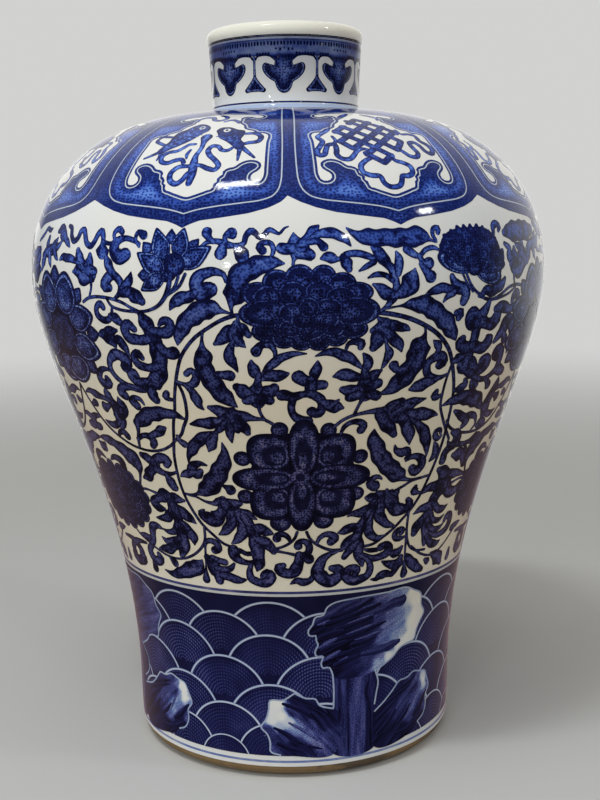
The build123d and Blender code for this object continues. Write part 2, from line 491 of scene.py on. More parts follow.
# Neck painting: a stippled ground under the lip that hangs down in eight cloud heads, with
# curled white spaces between them and a small flared foot on a stem in each space, brushed
# in dark cobalt on the white neck.
def dabs(grain, spacing, size):
    """Round dabs of the brush tip, spacing mm apart and size as a share of that."""
    spots = grain.add("TexVoronoi", {"voronoi_dimensions": "2D"},
                      {"Vector": grain, "Scale": 1 / spacing, "Randomness": 0.7}, "Distance")
    return 1 - spots.rise_between(size - 0.13, size + 0.13)


def stippled(place, grain, ink):
    """A wash laid in fine dots, closed where the ink is dark."""
    wash = place.noise(70.0, 3.0) - 0.5
    open_wash = ink.rise_between(0.25, 0.4) * (1 - ink.rise_between(0.80, 0.95))
    dark = ink.rise_between(0.72, 0.84) * (1 - on_neck(place.axis("Z")))
    return ((dabs(grain, 1.35, 0.30) * 0.24 + wash * 0.30) * open_wash - dark * (1 - dabs(grain, 1.2, 0.36)) * 0.17
            + (place.noise(300.0, 3.0) - 0.5) * 0.2 * ink)


ground_rows = [(388.7, 0.84), (389.2, 0.74), (389.9, 0.60), (390.8, 0.52), (392.2, 0.54), (393.6, 0.56),
               (395.2, 0.60), (396.0, 0.72)]
neck_ground, neck_work = Brushwork(), Brushwork()
ground_rise, ground_ink = np.array(ground_rows).T
ground_turns, ground_rises = np.meshgrid(np.linspace(-180, 180, 361), ground_rise)
neck_ground.lay(ground_turns, ground_rises, ground_ink[:, None], third_coat)
neck_ground.done("neck_ground", cobalt_line)
dash_count = 150
dab = random.Random(3)
for dash in range(dash_count):
    turn = dash * 360.0 / dash_count + dab.uniform(-0.3, 0.3)
    neck_work.ribbon([(turn, 392.9 + dab.uniform(0, 0.5), 0.7), (turn + 0.2, 394.0, dab.uniform(0.8, 1.1)),
                      (turn, 395.0, 0.7)], 0.9, 0.86, fourth_coat, 0.5)
cloud_count, first_cloud = 8, -0.6
cloud_step = 360.0 / cloud_count
cloud_half = [(0, 372.2), (3.2, 372.9), (5.6, 374.9), (6.9, 377.2), (9.6, 378.2), (12.4, 379.6), (14.8, 381.4),
              (15.9, 383.4), (15.4, 385.0), (13.4, 385.8), (11.3, 385.2), (9.9, 384.2), (8.3, 383.9), (6.9, 384.8),
              (6.5, 386.3), (7.4, 387.6), (9.6, 388.5), (12, 389.2), (6, 390.2)]
cloud_shade = [(0.02, 0.50), (0.3, 0.58), (0.55, 0.72), (0.78, 0.88), (0.86, 0.90), (0.89, 0.50), (0.92, 0.48),
               (0.95, 0.90), (1.0, 0.90)]
trefoil_half = [(0, 380.6), (2.2, 378.6), (4.8, 376.6), (7.2, 375.0), (8.6, 373.9), (7.6, 372.9), (3.6, 373.1)]
trefoil_shade = [(0.02, 0.82), (0.5, 0.8), (0.68, 0.5), (0.78, 0.5), (0.88, 0.88), (1.0, 0.88)]


def both_sides(half, turn):
    """The outline of a shape that is the same on both sides of a line at turn."""
    left = [(turn - u, s) for u, s in reversed(half) if u]
    return [(turn + u, s) for u, s in half] + left


stem_sway = [2.4, -0.8, 1.2, -1.0, 0.6, 1.4, -0.6, 0.6]
for pendant in range(cloud_count):
    middle = first_cloud + cloud_step * pendant
    neck_work.blob(both_sides(cloud_half, middle), cloud_shade, second_coat, 0.8, heart=(middle, 383.0))
    before = middle - cloud_step / 2 + stem_sway[pendant - 1]
    after = middle + cloud_step / 2 + stem_sway[pendant]
    for hand, stem in ((-1, before), (1, after)):
        top = [(middle + hand * u, s) for u, s in ((7.2, 387.5), (9.4, 388.5), (12.5, 389.0))]
        top += [(stem - hand * u, s) for u, s in ((6.0, 389.0), (2.6, 388.5), (0.9, 387.0))]
        neck_work.ribbon([(*mark, 0.9) for mark in top], 0.90, 0.88, fourth_coat, 0.8)
        for turn in np.arange(min(top[1][0], top[4][0]), max(top[1][0], top[4][0]), 2.1):
            neck_work.ribbon([(turn, 389.5, 1.0), (turn + 0.3, 390.0 + dab.uniform(0, 0.3), 0.9)], 0.92, 0.88,
                             fourth_coat, 0.5)
    for u in (-5.4, -2.4, 0.8, 3.6, 6.4):
        neck_work.ribbon([(middle + u, 391.6 + dab.uniform(-0.5, 0.5), 1.0), (middle + u + 0.2, 392.1, 0.8)],
                         0.90, 0.84, fourth_coat, 0.5)
    neck_work.ribbon([(after, 388.6, 1.4), (after, 384.0, 1.2), (after, 379.0, 1.5)], 0.50, 0.86, second_coat)
    neck_work.blob(both_sides(trefoil_half, after), trefoil_shade, second_coat, 0.6)
cobalt_stipple = cobalt("cobalt_stipple", stippled)
neck_work.done("neck_clouds", cobalt_stipple)


# Shoulder lappets: eight cloud-edged panels hanging from the neck, each with a broad stippled
# border round a white field. The border is a wash laid in dots and darkened along its edges;
# fine lines were left bare in it, and its lower corners curl into the field as clouds.
lappet_cusps = [0.5, 43.8, 89.2, 134.6, 180.0, 225.5, 271.0, 316.5, 360.5]
lappet_half = 22.5
lappet_top = 355.0
lappet_edge = [(0, 258.8), (1.6, 260.3), (3.4, 261.6), (8, 262.8), (13, 264.3), (17, 266.4), (20, 268.8),
               (22.5, 271.6)]
reserve_line = [(0, 264.6), (2.4, 266), (7, 267.6), (12, 268.8), (16, 270), (18, 271.4), (19.4, 274), (20.2, 278),
                (20.5, 284), (20.6, 292), (20.6, 300), (20.4, 310), (20.2, 320), (20, 333), (19.6, 354)]
field_half = [(0, 271.4), (2, 272.5), (4.3, 274.2), (5.5, 275.2), (5.5, 277), (6.3, 278.4), (6.1, 280),
              (7.2, 281.4), (7.1, 283), (8.2, 284.7), (9.5, 285.2), (10.1, 286.4), (11.2, 287.9), (12.8, 288.7),
              (14.3, 288.1), (15.2, 286.5), (15.1, 284.9), (14.5, 283.4), (13.6, 282.3), (13, 280.6),
              (13.2, 278.8), (14.2, 277.7), (15.5, 278.2), (16.1, 280.6), (16.2, 285), (16.2, 292), (16.2, 299),
              (16.1, 305.4), (15.2, 306.2), (13, 306.5), (12.3, 308.3), (10.7, 309.3), (9.5, 310.8), (9.2, 313),
              (8.1, 315), (7.2, 316.6), (7.4, 319), (7.1, 321), (7.9, 322.7), (9.3, 322.9), (10.8, 321.8),
              (12.2, 321), (13.6, 321.6), (14, 323.3), (12.8, 325), (10, 326), (6.8, 327), (3.5, 328), (0, 328.6)]


def fill(work, outline, ink_of, lift, lean=0.0, spacing=1.9):
    """Fills an outline with a fine net; ink_of gives the ink at turn and rise, lean the way
    that the brush was drawn, in degrees from level."""
    edge = smooth_path(outline, spacing, True)[:-1]
    reach = np.interp(edge[:, 1].mean(), wall_run, wall_radius)
    flat = np.stack([np.radians(edge[:, 0]) * reach, edge[:, 1]], 1)
    low, high = flat.min(0), flat.max(0)
    inner = np.array([(x + (row % 2) * spacing / 2, y)
                      for row, y in enumerate(np.arange(low[1], high[1], spacing * 0.87))
                      for x in np.arange(low[0], high[0], spacing)])
    after = np.roll(flat, -1, 0)
    span = after - flat
    over = span[:, 0] * (inner[:, 1:] - flat[:, 1]) / (span[:, 1] + 1e-9) + flat[:, 0]
    crosses = ((flat[:, 1] > inner[:, 1:]) != (after[:, 1] > inner[:, 1:])) & (inner[:, :1] < over)
    clear = np.hypot(*(inner[:, None] - flat[None]).transpose(2, 0, 1)).min(1) > 0.6 * spacing
    points = np.concatenate([flat, inner[(crosses.sum(1) % 2 == 1) & clear]])
    ring = [(i, (i + 1) % len(flat)) for i in range(len(flat))]
    corners, _, faces, *_ = delaunay_2d_cdt([Vector(p) for p in points], ring, [], 1, 1e-6)
    spots = np.array([tuple(c) for c in corners])
    turn, rise = np.degrees(spots[:, 0] / reach), spots[:, 1]
    lean = math.radians(lean)
    along = spots[:, 0] * math.cos(lean) + spots[:, 1] * math.sin(lean)
    across = spots[:, 1] * math.cos(lean) - spots[:, 0] * math.sin(lean)
    work.lay(turn, rise, np.clip(ink_of(turn, rise), 0, 1), lift, spots, np.stack([along, across], -1), faces)


def beside(outline, gap):
    """A closed line that runs gap mm outside an outline."""
    path = smooth_path(outline, 0.9, True)[:-1]
    reach = np.radians(np.interp(path[:, 1], wall_run, wall_radius))
    ahead = np.roll(path, -1, 0) - np.roll(path, 1, 0)
    ahead[:, 0] *= reach
    ahead /= np.hypot(*ahead.T)[:, None]
    return [(turn + gap * way[1] / r, rise - gap * way[0]) for (turn, rise), way, r in zip(path, ahead, reach)]


def gap_to(turn, rise, path):
    """Distance in mm from each place to the nearest mark of a path."""
    reach = np.radians(np.interp(rise, wall_run, wall_radius))
    away = (turn[..., None] - path[:, 0]) * reach[..., None]
    return np.hypot(away, rise[..., None] - path[:, 1]).min(-1)


def near(gap, width, power=2):
    """1 where the gap is nothing, falling away to 0 beyond width."""
    return np.exp(-(gap / width) ** power)


lappets = Brushwork()
edge_u, edge_rise = np.array(lappet_edge).T
line_path = smooth_path(reserve_line, 1.0)
field_path = smooth_path(both_sides(field_half, 0.0), 0.9, True)
across, up = np.meshgrid(np.linspace(-lappet_half, lappet_half, 91), np.linspace(0, 1, 68))
off_middle = np.abs(across)
low = np.interp(off_middle, edge_u, edge_rise)
border_rise = low + (lappet_top - low) * up
reach = np.radians(np.interp(border_rise, wall_run, wall_radius))
to_edge = np.minimum(border_rise - low, (lappet_half - off_middle) * reach + 0.3)
edge_depth = 0.50 - 0.26 * np.clip((border_rise - 284) / 16, 0, 1)
cloud_depth = 0.25 + 0.85 * near(border_rise - 280, 9) + 0.30 * np.clip((border_rise - 306) / 9, 0, 1)
in_hook = near(off_middle - 11, 4.5, 4) * near(border_rise - 284, 7, 4)
top_wash = near(border_rise - 321, 4.6, 4) * near(off_middle - 13, 7, 6)
to_line = gap_to(off_middle, border_rise, line_path)
to_field = gap_to(across, border_rise, field_path)
border_ink = (0.445 + 0.50 * near(to_line, 2.5) + edge_depth * near(to_edge, 2.8)
              + 0.56 * cloud_depth * near(to_field, 3.2) + 0.22 * in_hook + 0.42 * top_wash)
border_ink += np.clip((border_rise - 326) / 8, 0, 1) * (0.80 - border_ink)
lappet_sway = [0.2, 0.6, -0.4, 0.9, -1.0, 0.4, -0.5, 1.7]
for sway, begins, ends in zip(lappet_sway, lappet_cusps, lappet_cusps[1:]):
    middle, stretch = (begins + ends) / 2, (ends - begins) / (2 * lappet_half)

    def hung(u):
        """The turn of a mark u off the middle of a lappet, whose tip hangs a little to one side."""
        return middle + stretch * u + sway * (1 - (u / lappet_half) ** 8)

    field = [(hung(u), s) for u, s in both_sides(field_half, 0.0)]
    lappets.lay(hung(across), border_rise, np.clip(border_ink, 0, 0.93), first_coat)
    lappets.line(beside(field, 1.0), 0.55, 0.16, second_coat, True)
    fill(lappets, field, lambda turn, rise: 0 * turn, second_coat)
    lappets.line(field, 0.6, 0.72, third_coat, True)
    for hand in (-1, 1):
        lappets.line([(hung(hand * u), s) for u, s in reserve_line], 0.55, 0.18, second_coat)
lappets.done("shoulder_lappets", cobalt_stipple)


# Emblems: one of the eight lucky signs in each white field, tied with fluttering ribbons
# over a looped bow. They are drawn with a firm outline and filled with a grey-blue wash.
def brush_marks(text):
    """Strokes as (turn, rise, width) marks. Each begins on a line of its own and runs on in the
    indented lines below it, and a mark with no width keeps the one before."""
    strokes = []
    for line in text.strip().replace("\n  ", " ").splitlines():
        marks = []
        for mark in line.split():
            turn, rise, *width = map(float, mark.split(","))
            marks.append((turn, rise, width[0] if width else marks[-1][2]))
        strokes.append(marks)
    return strokes


tied_ribbons = """
-10.9,310,1.2 -11.9,307.5,1.6 -13.9,304.5,2 -14.9,302.5,2.2 -13.9,299.5,2.4 -14.7,296.5 -15.6,293,2.6 -15.3,291
  -14.2,291.3 -13.5,294.5,2.4 -12.7,297.3 -11.3,297.5 -11.1,294,2.5 -11.3,291.4 -10.4,289.2 -8.6,288.9
  -7.5,290.8,2.4 -6.4,293.4,2.2 -4.8,294.8,2 -3.4,294,1.6
-11.5,297.5,2 -10.7,299.8,1.8 -11.2,303,1.4
7.9,309,1.2 8.3,305.6,1.6 10.6,305.6,1.8 12.3,304.4,2.2 12.4,301,2.4 13.9,297.5,2.7 14.1,294.5 12.9,292.3,2.6
  11.7,294,2.4 11.1,297.5 10.1,299.5 8.6,299 8.6,296,2.5 9.1,292.5 8.1,290.3 6.4,290.8,2.4 5.1,293.5,2.2 3.6,296,2
-7.4,318.4,1.4 -6,321,2.4 -4.4,323.4,2.6 -2.6,326,1.6
5.6,318.6,1.2 6.2,321,2 4.8,323.4,2.4 2.4,325.4,1.6
-3.4,289.8,2 -5.4,287.6,2.4 -6.6,285,2.6 -6.4,282 -4.7,280.4 -2.9,280,2.5 -2.4,277 -1.4,275.2 -.4,274.9 1.1,275.8
  1.8,278 2.2,280 3.8,280.3,2.6 5.1,282 5.1,285 3.6,287,2.4 1.9,288.3,2.2 1.3,290,1.8
"""
endless_knot = """
-4.3,291.5,2.5 1,299.2 6.9,307.5
-6.9,295,2.5 -1,303.5 4.6,311.5
-9.6,299.5,2.5 -4,308 1.6,316
-.9,287,2.5 .4,289 1.6,291
-10,306.5,2.5 -8.5,308.8 -6.9,311
-.9,287,2.5 -2.6,289.4 -4.4,292
1.6,290.8,2.5 -4,299 -9.9,307
3.9,294.5,2.5 -1.6,302.8 -7.4,311
6.4,300,2.5 .8,308.2 -4.9,316.5
6.9,306,2.5 5,309.5 2.6,313
-7.2,295.2,2.5 -8.4,297.3 -9.7,299.5
3.9,294.5,2.5 5.2,297.2 6.4,300
-4.9,314,2.5 -3.4,316.4 -1.9,318.5
-1.9,318.5,2.5 0,316.4 1.6,314
"""
twin_fish = """
-8.4,295.5,2.4 -10,293.6,1.9 -11.9,291.8,1.2
-7.9,295,2.4 -7.7,292.6,1.8 -7.9,290.5,1
-7.9,305.5,1.6 -11.4,305.5,1.9 -11.9,303.5 -9.9,301,1.8 -7.9,299.5,1.6
12.3,296.5,2.4 13.9,293.4,1.9 15.5,290.3,1.2
11.9,296,2.4 11.9,292.5,1.8 11.9,289,1
12.1,306,1.8 15.1,305.8,2.2 16.4,303.5,2.5 16,300.4 13.6,299.3,2.2 12.3,298.5,2
-4.6,319.4,1.2 -5,322,2 -3,324.4,2.4 -.4,323.4 .6,320.6,2.2 2.6,319.4,2 4.4,321.4,2.2 3.6,324.4,2 1.4,326.4,1.4
4.6,318,1.4 6.4,319.6,2 8.2,318.4 9.2,316,1.4
2.4,304,5.4 2.4,300,2.6 2.5,297,2.2 1.9,292,2.6 2.1,287,4 2.4,282,3.8 2.2,278,3
.4,299.5,1.5 -1.2,299.3,1.9 -2.2,297.5,2 -3.4,295.6,2.1 -5.6,294.8,2.2 -6.9,292.5,2.5 -6.5,289.7,2.4 -4.7,288.6
  -2.9,289.9,2.5 -1.2,290.2,2.2 -.5,288.5
-.1,295.8,1.3 -.5,293,1.8 -.2,290.8,1
1.1,286.5,2 -1.5,286,2.5 -2.7,283,2.7 -2.3,279.5 -.7,277.8 .5,279.5,2.6 1.3,282.5,2.5 2.6,285,2
10.1,296.3,1.6 9.1,294.7,2 7.8,295,2.1 6.5,297.5,2.2 5.1,297.8,2.5 4.4,295.5 5.1,292.5 6.7,289.5,2.4 7.9,286,2.5
  7.3,284.3,2.4 5.6,285,2.5 3.8,286.7,2.1 2.6,287,2
"""
fish_bodies = [[(.6, 307), (1.9, 309.5), (1.8, 312), (.1, 315), (-2.4, 316.3), (-3.9, 314.5), (-5.4, 311.5),
                (-7.2, 309), (-7.7, 305), (-7.7, 302), (-8.7, 298.5), (-9.2, 295.5), (-7.7, 294), (-5.9, 296.5),
                (-3.9, 298.8), (-1.9, 301.5), (-.4, 304.5)],
               [(4.9, 306.5), (4.1, 309.5), (4.8, 311.5), (7.1, 312), (10.1, 309.5), (11.9, 308.5), (12.1, 305),
                (11.6, 302), (12.8, 298.5), (12.5, 296), (11.3, 295), (9.9, 297.5), (8.1, 300.5), (5.8, 303.5)]]
vase_half = [(0, 291), (3.6, 291.3), (4.4, 294), (3.4, 297), (6.4, 301), (7.2, 305.5), (5, 309.5), (2.8, 311.5),
             (2.6, 315), (4.4, 317.5)]
conch_half = [(0, 290), (3, 293), (6.2, 297.5), (7.6, 303), (6.2, 308.5), (2.6, 312.5), (0, 314)]
umbrella_half = [(0, 319), (3, 317.4), (6.6, 313.6), (9, 308.6), (9.4, 306), (6, 304.6), (3, 305.4)]
canopy_half = [(0, 318), (2.6, 316.4), (3.4, 312.6), (7, 311.6), (8.4, 306.4), (9.2, 303.6), (5, 302.6)]
vase_lines = "-5,299,1 0,297.6,1.2 5,299,1\n-6,303.4,.9 0,302,1 6,303.4,.9"
conch_lines = "-4,308,1 0,305,1.4 3.4,301.6,1.4 1,299,1.2\n-3,299,1 0,297.4,1.2 3,297,1"
umbrella_lines = """
0,304.5,1.6 0,298,1.4 0,291
-7,305,1.2 -7.4,301,1.6 -7,298.6,.6
7,305,1.2 7.4,301,1.6 7,298.6,.6
-3.4,305,1.2 -3.6,301,1.6 -3.4,298.6,.6
3.4,305,1.2 3.6,301,1.6 3.4,298.6,.6
"""
canopy_lines = """
-5,303,2.4 -5.4,297,3 -4.6,292,1.4
0,303,2.4 0,296,3 0,290.6,1.4
5,303,2.4 5.4,297,3 4.6,292,1.4
"""
lotus_lines = "\n".join("0,294,2 %.1f,301,5 %.1f,%.1f,.6" % (leaf * 1.5, leaf * 2.9, 315 - abs(leaf) * 2.2)
                        for leaf in (-3, 3, -2, 2, -1, 1, 0))
wheel_hub, wheel_degree = 303, 1.66
eye_degree, back_degree = 1.55, 1.6
wheel_lines = "\n".join("%.2f,%.2f,1.6 %.2f,%.2f,1.6 %.2f,%.2f,1.8" % tuple(
    value for out in (1, 7, 13.5)
    for value in (out * math.sin(way) / wheel_degree, wheel_hub + out * math.cos(way)))
    for way in np.linspace(0, 2 * math.pi, 9)[:-1])


def circle(turn, rise, size, degree, count):
    """Marks round a point, size mm from it, where one degree is so many mm."""
    return [(turn + size * math.sin(way) / degree, rise + size * math.cos(way))
            for way in np.linspace(0, 2 * math.pi, count + 1)[:-1]]


wheel_rings = [circle(0, wheel_hub, size, wheel_degree, 16) for size in (11.5, 5.0)]
solid_shade = [(0.02, 0.74), (0.4, 0.78), (0.75, 0.82), (0.9, 0.90), (1.0, 0.96)]
fish_eyes = [(-.8, 312.4), (7, 309.2)]
fish_backs = [((-1.8, 308.6), (-7.4, 297.6), 9.4), ((7.2, 306.6), (11.2, 299.4), 8.6)]
signs = [(endless_knot, [], [], 0.75),
         (vase_lines, [both_sides(vase_half, 0)], [], 0),
         (lotus_lines, [], [], 0),
         (wheel_lines, [], wheel_rings, 0),
         (conch_lines, [both_sides(conch_half, 0)], [], 0),
         (umbrella_lines, [both_sides(umbrella_half, 0)], [], 0),
         (canopy_lines, [both_sides(canopy_half, 0)], [], 0),
         (twin_fish, fish_bodies, [], -0.6)]


def mottled(place, grain, ink):
    specks = place.noise(480.0, 3.0, 0.7).rise_between(0.40, 0.60) - 0.5
    return soft_pooling(place, grain, ink) + specks * (1 - ink.rise_between(0.86, 0.94)) * 0.26


emblems = Brushwork()
for (strokes, shapes, loops, nudge), begins, ends in zip(signs, lappet_cusps, lappet_cusps[1:]):
    emblems.turned = (begins + ends) / 2 + nudge
    ties = brush_marks(tied_ribbons) if strokes is not twin_fish else []
    for count, stroke in enumerate(ties + brush_marks(strokes)):
        knotted = strokes is endless_knot and count >= len(ties)
        body, fuller = (0.76, 0.5) if knotted else (0.63, 0.0)
        emblems.ribbon([(turn, rise, width + fuller) for turn, rise, width in stroke], body, 0.95,
                       third_coat + 0.0012 * count, 0.9)
    for shape in shapes:
        emblems.blob(shape, solid_shade, fourth_coat, 1.0)
    for loop in loops:
        emblems.line(loop, 1.7, 0.74, fourth_coat, True)
# The twin fish are the last sign, so their eyes and scales lie at the turn it was laid at.
for turn, rise in fish_eyes:
    for size, ink, lift in ((1.5, 0.10, 0.155), (0.7, 0.95, 0.17)):
        emblems.blob(circle(turn, rise, size, eye_degree, 12), [(0.02, ink), (1.0, ink)], lift, 0.6)
for head, tail, wide in fish_backs:
    head, back = np.array(head), np.array(tail) - head
    along = back * (back_degree, 1) / math.hypot(back[0] * back_degree, back[1])
    for step in np.linspace(0.0, 0.92, 7):
        spot, half = head + back * step, wide / 2 * (1 - 0.72 * step)
        scale = [(side * half * -along[1] + bow * along[0], side * half * along[0] + bow * along[1])
                 for side, bow in ((-1, -.6), (0, .6), (1, -.6))]
        emblems.ribbon([(spot[0] + x / back_degree, spot[1] + y, 0.55) for x, y in scale], 0.60, 0.62,
                       fifth_coat, 0.6)
emblems.done("shoulder_emblems", cobalt("cobalt_emblem", mottled))


